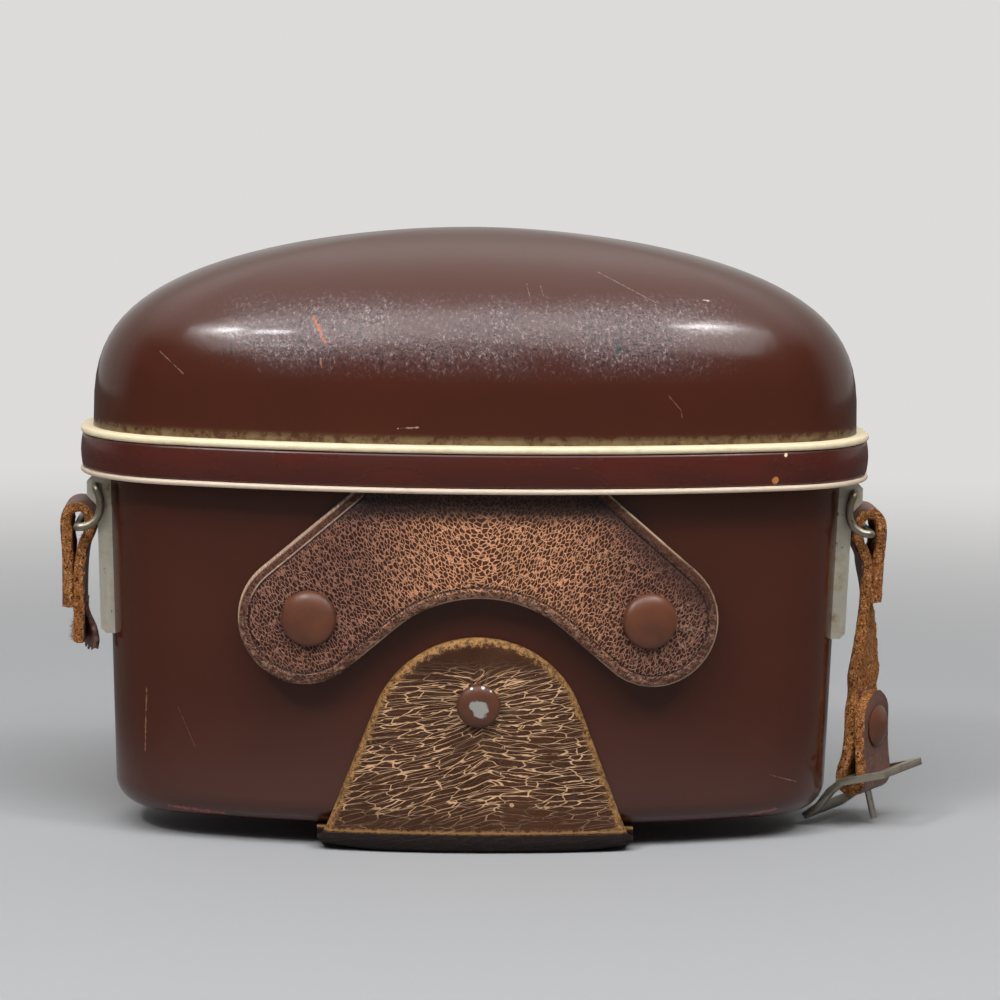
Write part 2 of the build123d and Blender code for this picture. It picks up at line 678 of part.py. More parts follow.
def rod(start, end, radius):
    start = Vector(*start)
    end = Vector(*end)
    along = end - start
    plane = Plane(origin=start, z_dir=along)
    return plane * Pos(0, 0, along.length / 2) * Cylinder(radius, along.length)


def wire_path(points, radius):
    """Straight rods with a ball at each bend."""
    body = None
    for start, end in zip(points, points[1:]):
        piece = rod(start, end, radius)
        body = piece if body is None else body + piece
    for point in points[1:-1]:
        body += Pos(*point) * Sphere(radius)
    return body


def right_bail():
    """Wire pins in the lug's ears, bent legs and the bar that carries the strap."""
    leg_y = LUG_HALF_WIDTH + WIRE_RADIUS + BAIL_CLEARANCE
    pin_end = leg_y - WIRE_RADIUS - BAIL_PIN_LENGTH
    near = [(BAIL_X, -pin_end, BAIL_Z), (BAIL_X, -leg_y, BAIL_Z)]
    near += [(BAIL_X + out, -leg_y, BAIL_Z - down) for out, down in BAIL_BENDS]
    near += [(LOOP_BAR_X, -leg_y, LOOP_BAR_Z)]
    far = [(x, -y, z) for x, y, z in reversed(near)]
    return wire_path(near + far, WIRE_RADIUS)


def strip_solid(points, thickness, width):
    """A strip whose middle line runs through points in X and Z, drawn out along Y."""
    flat = trace(Polyline(*points), thickness)
    return Pos(0, width / 2, 0) * (Rot(90, 0, 0) * extrude(flat, width))


LAYER_HALF = STRAP_LEATHER / 2 + LAYER_OVERLAP
LOOP_MID_X = LOOP_BAR_X + LOOP_LEAN


def loop_points(outer_end, inner_end):
    """Middle line of a strap over the right bail's bar: outer end, over the bar, inner end."""
    half = WIRE_RADIUS + LOOP_SLACK + STRAP_LEATHER / 2
    top = LOOP_BAR_Z + LOOP_RISE - STRAP_LEATHER / 2
    merge_z = LOOP_BAR_Z - LOOP_MERGE
    outer_side = [
        (LOOP_MID_X + LAYER_HALF, outer_end),
        (LOOP_MID_X + LAYER_HALF, merge_z),
        (LOOP_BAR_X + half, LOOP_BAR_Z - LOOP_LOW),
        (LOOP_BAR_X + half, top - LOOP_SHOULDER),
        (LOOP_BAR_X + half / 2, top),
    ]
    inner_side = [
        (LOOP_BAR_X - half / 2, top),
        (LOOP_BAR_X - half, top - LOOP_SHOULDER),
        (LOOP_BAR_X - half, LOOP_BAR_Z - LOOP_LOW),
        (LOOP_MID_X - LAYER_HALF, merge_z),
        (LOOP_MID_X - LAYER_HALF, inner_end),
    ]
    return outer_side + inner_side


def left_strap():
    """The torn stub: two layers hanging from the left bail."""
    points = loop_points(LOOP_BAR_Z - STUB_OUTER_LENGTH, LOOP_BAR_Z - STUB_LENGTH)
    return mirrored(strip_solid(points, STRAP_LEATHER, STRAP_WIDTH))


BUCKLE_BAR_X = LOOP_BAR_X + BUCKLE_BAR_OUT
LOW_PLACE = Pos(BUCKLE_BAR_X, 0, BUCKLE_BAR_Z) * Rot(0, 0, STRAP_TURN)
TWIST_START_Z = LOOP_BAR_Z - TWIST_DROP
TWIST_END_Z = BUCKLE_BAR_Z + TWIST_END_RISE


def strap_section(z, layer_x):
    """A level cut through one layer of the turning strap at height z."""
    share = (TWIST_START_Z - z) / (TWIST_START_Z - TWIST_END_Z)
    turn = radians(STRAP_TURN)
    low_x = BUCKLE_BAR_X + FOLD_MID * cos(turn)
    low_y = FOLD_MID * sin(turn)
    x = LOOP_MID_X + (low_x - LOOP_MID_X) * share + STRAP_BOW * sin(pi * share)
    place = Pos(x, low_y * share, z) * Rot(0, 0, STRAP_TURN * share)
    return place * Pos(layer_x, 0, 0) * Rectangle(STRAP_LEATHER, STRAP_WIDTH).face()


def turning_layer(layer_x, end_z):
    """One layer of the strap from where it starts to turn down to end_z."""
    step = (end_z - TWIST_START_Z) / TWIST_STEPS
    sections = [strap_section(TWIST_START_Z + i * step, layer_x) for i in range(TWIST_STEPS + 1)]
    return loft(sections, ruled=True)


def fold_strip():
    """The riveted fold round the buckle's bar, with the bar on the Y axis."""
    reach = BAR_RADIUS + FOLD_SLACK + STRAP_LEATHER / 2
    points = [
        (FOLD_MID - LAYER_HALF, TWIST_END_RISE),
        (FOLD_MID - LAYER_HALF, FOLD_MEET_RISE),
        (-reach, reach / 2),
        (-reach, -reach / 2),
        (-reach / 2, -reach),
        (reach / 2, -reach),
        (reach, -reach / 2),
        (reach, reach / 2),
        (FOLD_MID + LAYER_HALF, FOLD_MEET_RISE),
        (FOLD_MID + LAYER_HALF, TAIL_RISE),
    ]
    strip = strip_solid(points, STRAP_LEATHER, STRAP_WIDTH)
    slot = block(-DEEP, DEEP, -PRONG_SLOT / 2, PRONG_SLOT / 2, -DEEP, PRONG_SLOT_RISE)
    hole = Pos(0, 0, STRAP_RIVET_RISE) * Rot(0, 90, 0) * Cylinder(RIVET_SHANK + TOUCH, HOLE_LENGTH)
    return strip - slot - hole


def right_strap():
    """One strap: the loop on the bail's bar, a turning length, and the fold that holds the buckle."""
    loop = strip_solid(loop_points(TWIST_START_Z, TWIST_START_Z), STRAP_LEATHER, STRAP_WIDTH)
    main_layer = turning_layer(-LAYER_HALF, TWIST_END_Z)
    outer_tail = turning_layer(LAYER_HALF, LOOP_BAR_Z - OUTER_TAIL)
    return loop + main_layer + outer_tail + LOW_PLACE * fold_strip()


def strap_rivet():
    """Cap on the outer tail, shank through both layers, flat clenched end inside."""
    outer = LAYER_HALF + STRAP_LEATHER / 2 + TOUCH
    piece = disc(RIVET_SHANK, 2 * outer, -outer)
    piece += Pos(0, 0, outer) * cap(RIVET_CAP_RADIUS, RIVET_CAP_RISE)
    piece += disc(CLENCH_RADIUS, WASHER, -outer - WASHER)
    return LOW_PLACE * Pos(FOLD_MID, 0, STRAP_RIVET_RISE) * Rot(0, 90, 0) * piece


def buckle_frame():
    """A bent plate with one window, and the bar across it."""
    plate = strip_solid(BUCKLE_BENDS, BUCKLE_SHEET, 2 * BUCKLE_HALF_WIDTH)
    inner = BUCKLE_HALF_WIDTH - BUCKLE_RAIL
    low_x = BUCKLE_BENDS[0][0] + BUCKLE_END
    high_x = BUCKLE_BENDS[-1][0] - BUCKLE_END
    window = block(low_x, high_x, -inner, inner, -2 * DEEP, 2 * DEEP)
    bar = Rot(90, 0, 0) * Cylinder(BAR_RADIUS, 2 * inner + BUCKLE_RAIL)
    return LOW_PLACE * (plate - window + bar)


def buckle_prong():
    """A curl round the bar and the stem that hangs from it."""
    curl_outer = BAR_RADIUS + TOUCH + 2 * PRONG_RADIUS
    curl = Rot(90, 0, 0) * Cylinder(curl_outer, PRONG_WIDTH)
    curl -= Rot(90, 0, 0) * Cylinder(BAR_RADIUS + TOUCH, 2 * PRONG_WIDTH)
    stem_top = (PRONG_RADIUS, 0, PRONG_RADIUS - curl_outer)
    stem = rod(stem_top, (PRONG_LEAN, 0, -PRONG_DROP), PRONG_RADIUS)
    return LOW_PLACE * (curl + stem)


def main():
    os.makedirs("parts", exist_ok=True)
    outside = tub_outside()

    write(tub_shell(outside), "tub_shell")
    write(tub_lining(), "tub_lining")
    write(floor_pad(), "floor_pad")

    write(snap_studs(), "snap_studs")
    write(stud_backs(), "stud_backs")
    write(front_tab(outside), "front_tab")
    write(TAB_RIVET * rivet_piece(TAB_LEATHER + FLAT_GAP), "tab_rivet")
    write(washer_at(TAB_RIVET, SHELL_WALL + FLAT_GAP), "tab_rivet_washer")

    write(rear_strap(outside), "rear_strap")
    rear_piece = rivet_piece(REAR_LEATHER + FLAT_GAP)
    write(Compound(children=[place * rear_piece for place in REAR_RIVETS]), "rear_rivets")
    rear_backs = [washer_at(place, SHELL_WALL + FLAT_GAP) for place in REAR_RIVETS]
    write(Compound(children=rear_backs), "rear_rivet_washers")
    write(base_rivets(), "base_rivets")
    write(base_washers(), "base_rivet_washers")

    write(lid_shell(), "lid_shell")
    write(ring(0, DOME_STEP - TOUCH, BAND_Z, BAND_HEIGHT), "lid_band")
    write(ring(0, DOME_STEP - TOUCH, UPPER_TRIM_Z, UPPER_TRIM_HEIGHT), "upper_trim")
    write(ring(0, SKIRT_INNER, SEAM_Z, LOWER_TRIM_HEIGHT) - leather_notches(), "lower_trim")
    write(lid_lining(), "lid_lining")
    write(flap_root(), "flap_root")
    write(hinge_root(), "hinge_root")

    write(front_flap(), "front_flap")
    write(snap_caps(), "snap_caps")
    write(snap_sockets(), "snap_sockets")

    lug = right_lug(outside)
    rivets = right_lug_rivets()
    bail = right_bail()
    write(lug, "right_lug")
    write(mirrored(lug), "left_lug")
    write(rivets, "right_lug_rivets")
    write(mirrored(rivets), "left_lug_rivets")
    write(bail, "right_bail")
    write(mirrored(bail), "left_bail")
    write(left_strap(), "left_strap")

    write(right_strap(), "right_strap")
    write(strap_rivet(), "strap_rivet")
    write(buckle_frame(), "buckle_frame")
    write(buckle_prong(), "buckle_prong")


main()
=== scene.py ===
"""A hard camera case with a domed lid, a leather flap and side straps, built around its CAD frame."""
from math import asin, atan2, cos, hypot, pi, radians, sin, sqrt, tan
from random import Random

import bmesh
import bpy
from bpy.props import FloatProperty, FloatVectorProperty, IntProperty, PointerProperty
from mathutils import Matrix, Vector, noise


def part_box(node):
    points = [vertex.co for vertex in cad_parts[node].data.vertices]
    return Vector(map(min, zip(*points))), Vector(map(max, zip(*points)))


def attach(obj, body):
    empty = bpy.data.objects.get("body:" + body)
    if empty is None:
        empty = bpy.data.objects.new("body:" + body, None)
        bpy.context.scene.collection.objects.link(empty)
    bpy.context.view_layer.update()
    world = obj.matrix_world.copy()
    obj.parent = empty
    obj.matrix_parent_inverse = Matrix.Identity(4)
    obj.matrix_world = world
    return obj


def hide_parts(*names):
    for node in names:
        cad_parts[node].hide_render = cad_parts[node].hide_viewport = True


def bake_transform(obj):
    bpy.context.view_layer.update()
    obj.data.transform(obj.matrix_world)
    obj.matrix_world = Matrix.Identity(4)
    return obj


bl_info = {
    "name": "Camera case",
    "version": (1, 0, 0),
    "blender": (4, 5, 0),
    "location": "View3D > Sidebar > Camera case",
    "description": "Models a hard camera case with leather fittings around its CAD frame",
    "category": "Object",
}

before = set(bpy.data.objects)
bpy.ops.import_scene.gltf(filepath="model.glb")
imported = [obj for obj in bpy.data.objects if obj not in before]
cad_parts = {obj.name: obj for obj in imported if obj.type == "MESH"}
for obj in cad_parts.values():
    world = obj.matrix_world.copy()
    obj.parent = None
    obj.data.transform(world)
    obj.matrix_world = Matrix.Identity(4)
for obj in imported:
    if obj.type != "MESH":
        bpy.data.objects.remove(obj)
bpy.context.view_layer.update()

MM = 0.001
UP = Vector((0, 0, 1))

# A gap that keeps two faces from lying in one plane
HAIR = 0.00005
# How far inside the band the hidden ends of the flap and the rear strap stop
HIDDEN_END = 0.001


def length(name, default, description):
    """A size in metres, shown in the scene's units."""
    return FloatProperty(name=name, description=description, default=default, unit="LENGTH", precision=5)


def angle(name, default, description):
    return FloatProperty(name=name, description=description, default=default, subtype="ANGLE")


def ratio(name, default, description):
    return FloatProperty(name=name, description=description, default=default)


def colour(name, default, description):
    return FloatVectorProperty(
        name=name, description=description, default=default, subtype="COLOR", size=3, min=0.0, max=1.0
    )


class CameraCaseShell(bpy.types.PropertyGroup):
    """Sizes of the moulded tub, the lid and the band."""

    half_width: length("Half width", 0.089, "Half of the band's width")
    half_depth: length("Half depth", 0.044, "Half of the band's depth")
    front_bow: length("Front bow", 0.011, "How far the front's middle stands out past its corners")
    side_bow: length("Side bow", 0.0001, "How far the side's middle stands out past its corners")
    corner: length("Corner radius", 0.0305, "Radius of the plan's corners")
    base_z: length("Base height", 0.0049, "Height of the tub's underside, on two layers of leather")
    tub_height: length("Tub height", 0.0755, "Height of the tub up to the seam")
    rim_height: length("Rim height", 0.0056, "How far the tub's rim stands up inside the lid")
    lower_trim: length("Lower piping", 0.0012, "Height of the piping under the band")
    band_height: length("Band height", 0.0076, "Height of the band")
    upper_trim: length("Upper piping", 0.0016, "Height of the piping on the band")
    dome_height: length("Dome height", 0.0451, "Height of the dome over the piping")
    wall: length("Wall", 0.0024, "Thickness of the moulded walls")
    foot_inset: length("Foot inset", 0.0084, "How far the tub's foot lies inside the band")
    foot_radius: length("Foot radius", 0.006, "Radius round the tub's underside")
    dome_step: length("Dome step", 0.0028, "How far the dome lies inside the band")
    rim_clearance: length("Rim clearance", 0.0006, "Room between the rim and the lid's skirt")
    dome_height_power: ratio("Dome height power", 3.24, "Squareness of the dome's section, upwards")
    dome_width_power: ratio("Dome width power", 1.79, "Squareness of the dome's section, outwards")
    outline_steps: IntProperty(
        name="Outline steps", description="Steps round each corner of the plan", default=14, min=4
    )


class CameraCaseLeather(bpy.types.PropertyGroup):
    """Sizes of the flap, the tabs and the straps."""

    flap: length("Flap leather", 0.0023, "Thickness of the flap")
    flap_neck: length("Flap neck", 0.0275, "Half of the flap's width where it goes behind the band")
    lobe_x: length("Lobe place", 0.0385, "Distance of each lobe's centre from the middle")
    lobe_drop: length("Lobe drop", 0.0284, "How far the lobes' centres hang under the seam")
    lobe_radius: length("Lobe radius", 0.0142, "Radius of the flap's lobes")
    arch_radius: length("Arch radius", 0.028, "Radius of the arch between the lobes")
    arch_drop: length("Arch drop", 0.051, "How far the arch's centre lies under the seam")
    flap_lean: length("Flap lean", 0.0022, "How far the flap's low edge stands out from its hinge")
    hinge_drop: length("Hinge drop", 0.0023, "How far the hinge lines lie under the seam")
    tab: length("Tab leather", 0.0024, "Thickness of the fan-shaped tab")
    tab_top: length("Tab height", 0.0482, "Height of the fan's top")
    tab_arc: length("Tab arc", 0.024, "Radius of the fan's top")
    strip_half: length("Base strip", 0.035, "Half of the width of the leather under the base")
    tab_back: length("Tab back edge", 0.029, "Where the tab ends under the base")
    rear: length("Rear leather", 0.0025, "Thickness of the rear strap")
    rear_front: length("Rear front edge", -0.028, "Where the rear strap ends under the base")
    hinge_half: length("Hinge half width", 0.03, "Half of the rear strap's width at its hinge")
    fold_radius: length("Fold radius", 0.0026, "Outer radius where leather folds under the base")
    strap: length("Strap leather", 0.0025, "Thickness of the carrying strap")
    strap_width: length("Strap width", 0.014, "Width of the carrying strap")


class CameraCaseMetal(bpy.types.PropertyGroup):
    """Sizes of the fasteners and the wire."""

    snap_x: length("Snap place", 0.0374, "Distance of each snap from the middle")
    snap_drop: length("Snap drop", 0.0281, "How far the snaps lie under the seam")
    snap_radius: length("Snap radius", 0.0061, "Radius of the snap caps")
    snap_rise: length("Snap rise", 0.0026, "Height of the snap caps")
    rivet_radius: length("Rivet radius", 0.00475, "Radius of the rivet caps")
    rivet_rise: length("Rivet rise", 0.0021, "Height of the rivet caps")
    tab_rivet_z: length("Tab rivet height", 0.0335, "Height of the rivet in the fan")
    rear_rivet_x: length("Rear rivet place", 0.018, "Distance of the rear rivets from the middle")
    rear_rivet_z: length("Rear rivet height", 0.058, "Height of the rear rivets")
    wire_radius: length("Wire radius", 0.0009, "Radius of the bails' wire")


class CameraCaseColours(bpy.types.PropertyGroup):
    """Colours of the finishes."""

    shell: colour("Shell", (0.06, 0.0152, 0.0078), "Chocolate brown of the moulded shell")
    band: colour("Band", (0.074, 0.0145, 0.0095), "Redder brown of the band")
    piping: colour("Piping", (0.78, 0.66, 0.44), "Cream of the piping")
    leather: colour("Leather", (0.066, 0.02, 0.009), "Dark brown of the flap's leather")
    leather_crack: colour("Leather ridges", (0.78, 0.38, 0.2), "Tan of the fine cracks")
    tab: colour("Tab leather", (0.042, 0.0155, 0.0065), "Darker brown of the tab")
    tab_crack: colour("Tab cracks", (0.64, 0.39, 0.22), "Tan of the tab's long cracks")
    raw_edge: colour("Raw edge", (0.36, 0.185, 0.065), "Tan of the cut leather edge")
    suede: colour("Suede", (0.46, 0.17, 0.05), "Orange-brown flesh side of the strap")
    grain: colour("Grain", (0.075, 0.034, 0.028), "Mauve-brown grain side of the strap")
    nickel: colour("Nickel", (0.6, 0.565, 0.47), "Dull nickel of the lugs")
    steel: colour("Steel", (0.3, 0.27, 0.215), "Worn steel of the buckle and the wire")
    cap: colour("Cap", (0.118, 0.039, 0.0185), "Brown enamel of the snap caps")
    felt: colour("Felt", (0.1, 0.03, 0.026), "Felt inside the tub and the lid")
    floor: colour("Floor", (0.34, 0.345, 0.355), "Pale floor")
    backdrop: colour("Backdrop", (0.72, 0.71, 0.7), "Pale wall behind the case")


class CameraCaseStage(bpy.types.PropertyGroup):
    """Where the camera stands and what it looks at."""

    distance: length("Distance", 0.9, "Distance of the camera from the case")
    aim_z: length("Aim height", 0.06, "Height of the point that the camera is placed from")
    elevation: angle("Elevation", 0.1365, "Angle over the floor")
    azimuth: angle("Azimuth", -0.0364, "Turn about the case")
    roll: angle("Roll", 0.0139, "Roll of the camera")
    focal: ratio("Focal ratio", 3.95586, "Focal length over the image's width")
    aim_x_share: ratio("Aim across", 0.47475, "Where the aim falls across the image")
    aim_y_share: ratio("Aim down", 0.56127, "Where the aim falls down the image")


def shell_sizes():
    return bpy.context.scene.camera_case_shell


def leather_sizes():
    return bpy.context.scene.camera_case_leather


def metal_sizes():
    return bpy.context.scene.camera_case_metal


def colours():
    return bpy.context.scene.camera_case_colours


# Levels and surfaces that follow from the sizes


def seam_z():
    s = shell_sizes()
    return s.base_z + s.tub_height


def rim_z():
    return seam_z() + shell_sizes().rim_height


def band_z():
    return seam_z() + shell_sizes().lower_trim


def upper_trim_z():
    return band_z() + shell_sizes().band_height


def dome_z():
    return upper_trim_z() + shell_sizes().upper_trim


def skirt_inner():
    s = shell_sizes()
    return s.dome_step + s.wall


def hinge_z():
    return seam_z() - leather_sizes().hinge_drop


def tub_inset(z):
    """How far the tub's outside lies inside the band's outline at height z."""
    s = shell_sizes()
    rim_inset = skirt_inner() + s.rim_clearance
    share = (z - s.base_z) / (rim_z() - s.base_z)
    return s.foot_inset + (rim_inset - s.foot_inset) * share


def tub_tilt():
    s = shell_sizes()
    return atan2(s.foot_inset - tub_inset(rim_z()), rim_z() - s.base_z)


# Steps on each arc of the plan, as shares of the outline steps
FRONT_STEPS = 2.4
CORNER_STEPS = 1.4
SIDE_STEPS = 0.3


def plan_arcs():
    """Centre, radius, start, sweep and share of steps of the plan's arcs, anticlockwise from the front."""
    s = shell_sizes()
    cx = s.half_width - s.side_bow - s.corner
    cy = s.half_depth - s.front_bow - s.corner
    front = (cx**2 + (s.half_depth - cy) ** 2 - s.corner**2) / (2 * s.front_bow)
    side = (cy**2 + (s.half_width - cx) ** 2 - s.corner**2) / (2 * s.side_bow)
    front_y = front - s.half_depth
    side_x = s.half_width - side
    bow = atan2(cx, front_y + cy)
    flank = atan2(cy, cx - side_x)
    turn = pi / 2 - bow - flank
    return (
        ((0, front_y), front, -pi / 2 - bow, 2 * bow, FRONT_STEPS),
        ((cx, -cy), s.corner, -pi / 2 + bow, turn, CORNER_STEPS),
        ((side_x, 0), side, -flank, 2 * flank, SIDE_STEPS),
        ((cx, cy), s.corner, flank, turn, CORNER_STEPS),
        ((0, -front_y), front, pi / 2 - bow, 2 * bow, FRONT_STEPS),
        ((-cx, cy), s.corner, pi / 2 + bow, turn, CORNER_STEPS),
        ((-side_x, 0), side, pi - flank, 2 * flank, SIDE_STEPS),
        ((-cx, -cy), s.corner, pi + flank, turn, CORNER_STEPS),
    )


def plan_ring(inset, z, scale=1.0):
    """Points round the plan outline, moved in by inset, then scaled about the middle."""
    steps = shell_sizes().outline_steps
    points = []
    for (x, y), radius, start, sweep, share in plan_arcs():
        count = max(2, round(steps * share))
        for i in range(count):
            angle = start + sweep * i / count
            reach = radius - inset
            points.append(Vector(((x + reach * cos(angle)) * scale, (y + reach * sin(angle)) * scale, z)))
    return points


def front_arc():
    """Y of the centre of the front's bow, and its radius."""
    centre, radius = plan_arcs()[0][:2]
    return centre[1], radius


def front_y(x, inset):
    """Y of the bowed front at x, for an outline moved in by inset."""
    centre_y, radius = front_arc()
    return centre_y - sqrt((radius - inset) ** 2 - x**2)


def front_pin(x, z, inset, tilt):
    """A place inset from the band's front at x, whose Z axis points straight out, tilted down."""
    centre_y, radius = front_arc()
    turn = asin(x / radius)
    reach = radius - inset
    place = Matrix.Translation((reach * sin(turn), centre_y - reach * cos(turn), z))
    return place @ Matrix.Rotation(turn, 4, "Z") @ Matrix.Rotation(pi / 2 + tilt, 4, "X")


# Mesh helpers


def grow_rings(bm, rings, close_start=False, close_end=False):
    """Extrude a closed ring of edges through rings of points, one after another."""
    verts = [bm.verts.new(point) for point in rings[0]]
    edges = [bm.edges.new((verts[i - 1], verts[i])) for i in range(len(verts))]
    if close_start:
        bmesh.ops.contextual_create(bm, geom=edges)
    for ring in rings[1:]:
        order = {vert: i for i, vert in enumerate(verts)}
        grown = bmesh.ops.extrude_edge_only(bm, edges=edges)["geom"]
        new_verts = [item for item in grown if isinstance(item, bmesh.types.BMVert)]
        verts = [None] * len(ring)
        for vert in new_verts:
            old = next(edge.other_vert(vert) for edge in vert.link_edges if edge.other_vert(vert) in order)
            verts[order[old]] = vert
        for vert, point in zip(verts, ring):
            vert.co = point
        fresh = set(verts)
        edges = [edge for edge in grown if isinstance(edge, bmesh.types.BMEdge) and set(edge.verts) <= fresh]
    if close_end:
        bmesh.ops.contextual_create(bm, geom=edges)
    return verts


def tidy(bm, merge=1e-6):
    bmesh.ops.remove_doubles(bm, verts=bm.verts, dist=merge)
    bmesh.ops.recalc_face_normals(bm, faces=bm.faces)


def piece(name, bm, body, materials, replaced=(), sharp=radians(40)):
    """Turn a bmesh into a finished object that rides on a body."""
    mesh = bpy.data.meshes.new(name)
    bm.to_mesh(mesh)
    bm.free()
    mesh.polygons.foreach_set("use_smooth", [True] * len(mesh.polygons))
    mesh.set_sharp_from_angle(angle=sharp)
    obj = bpy.data.objects.new(name, mesh)
    bpy.context.scene.collection.objects.link(obj)
    for material in materials:
        mesh.materials.append(material)
    if body:
        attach(obj, body)
    if replaced:
        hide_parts(*replaced)
    return obj


def rounded_copy(node, name, body, material, width, sharp=radians(32), segments=2):
    """A copy of a machined node with its edges broken."""
    bm = bmesh.new()
    bm.from_mesh(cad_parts[node].data)
    bmesh.ops.remove_doubles(bm, verts=bm.verts, dist=2e-6)
    bmesh.ops.dissolve_limit(bm, angle_limit=radians(1.5), verts=bm.verts, edges=bm.edges)
    edges = [e for e in bm.edges if len(e.link_faces) == 2 and e.calc_face_angle(0) > sharp]
    if width:
        bmesh.ops.bevel(
            bm, geom=edges, offset=width, offset_type="OFFSET", affect="EDGES", segments=segments,
            profile=0.5, clamp_overlap=True, material=-1,
        )
    return piece(name, bm, body, [material], [node], radians(30))


def spun(bm, profile, place, steps=48):
    """Spin a profile of (radius, height) pairs about a place's Z axis."""
    verts = [bm.verts.new((radius, 0, height)) for radius, height in profile]
    edges = [bm.edges.new(pair) for pair in zip(verts, verts[1:])]
    bmesh.ops.spin(
        bm, geom=verts + edges, cent=(0, 0, 0), axis=UP, dvec=(0, 0, 0), angle=2 * pi, steps=steps,
        use_merge=True, use_duplicate=False,
    )
    loose = [v for v in bm.verts if not v.tag]
    bmesh.ops.transform(bm, matrix=place, verts=loose)
    for vert in loose:
        vert.tag = True


# A cap's shoulder and flatness, as powers: the low cap clears the buckle as it swings
FLAT_CAP = (0.75, 0.8)
LOW_CAP = (1.0, 2.0)


def cap_profile(radius, rise, post, post_radius, shape=FLAT_CAP, rim=0.0005, steps=14):
    """A dome over a short rolled rim and a post, closed underneath, as (radius, height) pairs."""
    shoulder, flatness = shape
    arch = rise - rim
    turns = [pi / 2 * i / steps for i in range(steps + 1)]
    profile = [(radius * sin(t) ** shoulder, rim + arch * cos(t) ** flatness) for t in turns]
    roll = rim * 0.35
    profile += [(radius, rim * 0.55), (radius - roll, 0.0)]
    return profile + [(post_radius, 0.0), (post_radius, -post), (0.0, -post)]


# Shader helpers


class Finish:
    """A material being built from shader nodes. Keywords name sockets, with _ for each space."""

    def __init__(self, name):
        self.material = bpy.data.materials.new(name)
        self.material.use_nodes = True
        self.tree = self.material.node_tree
        self.tree.nodes.clear()
        self.output = self.node("ShaderNodeOutputMaterial")
        self.shader = self.node("ShaderNodeBsdfPrincipled")
        self.tree.links.new(self.shader.outputs[0], self.output.inputs["Surface"])

    def node(self, kind, inputs=None, **settings):
        return add_node(self.tree, kind, inputs, **settings)

    def coordinates(self):
        return self.node("ShaderNodeTexCoord").outputs["Object"]

    def attribute(self, name):
        return self.node("ShaderNodeAttribute", attribute_name=name, attribute_type="GEOMETRY").outputs

    def effect(self, shared, **values):
        """The outputs of a shared node group."""
        made = self.node("ShaderNodeGroup", node_tree=shared)
        for name, value in values.items():
            put(self.tree, made.inputs[name], value)
        return made.outputs

    def set(self, **values):
        for name, value in values.items():
            put(self.tree, self.shader.inputs[name.replace("_", " ")], value)


def put(tree, socket, value):
    """Link a socket, or give it a plain value."""
    if isinstance(value, bpy.types.NodeSocket):
        tree.links.new(value, socket)
    elif hasattr(value, "__len__") and socket.type == "RGBA" and len(value) == 3:
        socket.default_value = (*value, 1.0)
    else:
        socket.default_value = value


def add_node(tree, kind, inputs=None, **settings):
    made = tree.nodes.new(kind)
    for name, value in settings.items():
        setattr(made, name, value)
    for name, value in (inputs or {}).items():
        put(tree, made.inputs[name], value)
    return made


def maths(tree, operation, *values):
    made = add_node(tree, "ShaderNodeMath", operation=operation)
    for socket, value in zip(made.inputs, values):
        put(tree, socket, value)
    return made.outputs[0]


def times(tree, first, *others):
    """The product of some values, taken in turn."""
    for other in others:
        first = maths(tree, "MULTIPLY", first, other)
    return first


def plus(tree, first, second):
    return maths(tree, "ADD", first, second)


def minus(tree, first, second):
    return maths(tree, "SUBTRACT", first, second)


def larger(tree, first, second):
    return maths(tree, "MAXIMUM", first, second)


def absolute(tree, value):
    return maths(tree, "ABSOLUTE", value)


def vector_maths(tree, operation, first, second=None, scale=None):
    """The outputs of a vector operation: its vector first, and its number under Value."""
    inputs = {0: first}
    if second is not None:
        inputs[1] = second
    if scale is not None:
        inputs["Scale"] = scale
    return add_node(tree, "ShaderNodeVectorMath", inputs, operation=operation).outputs


def axes_of(tree, vector):
    """The X, Y and Z of a vector."""
    return add_node(tree, "ShaderNodeSeparateXYZ", {0: vector}).outputs


def span(tree, value, low, high, to_low=0.0, to_high=1.0):
    """A value mapped from one span to another, clamped."""
    made = add_node(
        tree, "ShaderNodeMapRange",
        {"Value": value, "From Min": low, "From Max": high, "To Min": to_low, "To Max": to_high},
        clamp=True, interpolation_type="SMOOTHSTEP",
    )
    return made.outputs[0]


def mix(tree, factor, first, second):
    made = add_node(tree, "ShaderNodeMix", data_type="RGBA", clamp_factor=True)
    for index, value in ((0, factor), (6, first), (7, second)):
        put(tree, made.inputs[index], value)
    return made.outputs[2]


def painted(tree, base, tint, mask, strength):
    """A colour with a tint laid over it through a mask."""
    return mix(tree, times(tree, mask, strength), base, tint)


def noise_node(tree, vector, scale, detail, **settings):
    inputs = {"Vector": vector, "Scale": scale, "Detail": detail}
    inputs.update({name.title(): value for name, value in settings.items()})
    return add_node(tree, "ShaderNodeTexNoise", inputs)


def noise_at(tree, vector, scale, detail=3.0, roughness=0.55, distortion=0.0):
    return noise_node(tree, vector, scale, detail, roughness=roughness, distortion=distortion).outputs["Fac"]


def stretched(tree, vector, scale):
    return add_node(tree, "ShaderNodeMapping", {"Vector": vector, "Scale": scale}).outputs[0]


def bump(tree, height, distance, strength, normal=None):
    inputs = {"Height": height, "Distance": distance, "Strength": strength}
    if normal is not None:
        inputs["Normal"] = normal
    return add_node(tree, "ShaderNodeBump", inputs).outputs[0]


def shade(tint, share):
    return [channel * share for channel in tint]


# Shared effects


GROUPS = {}


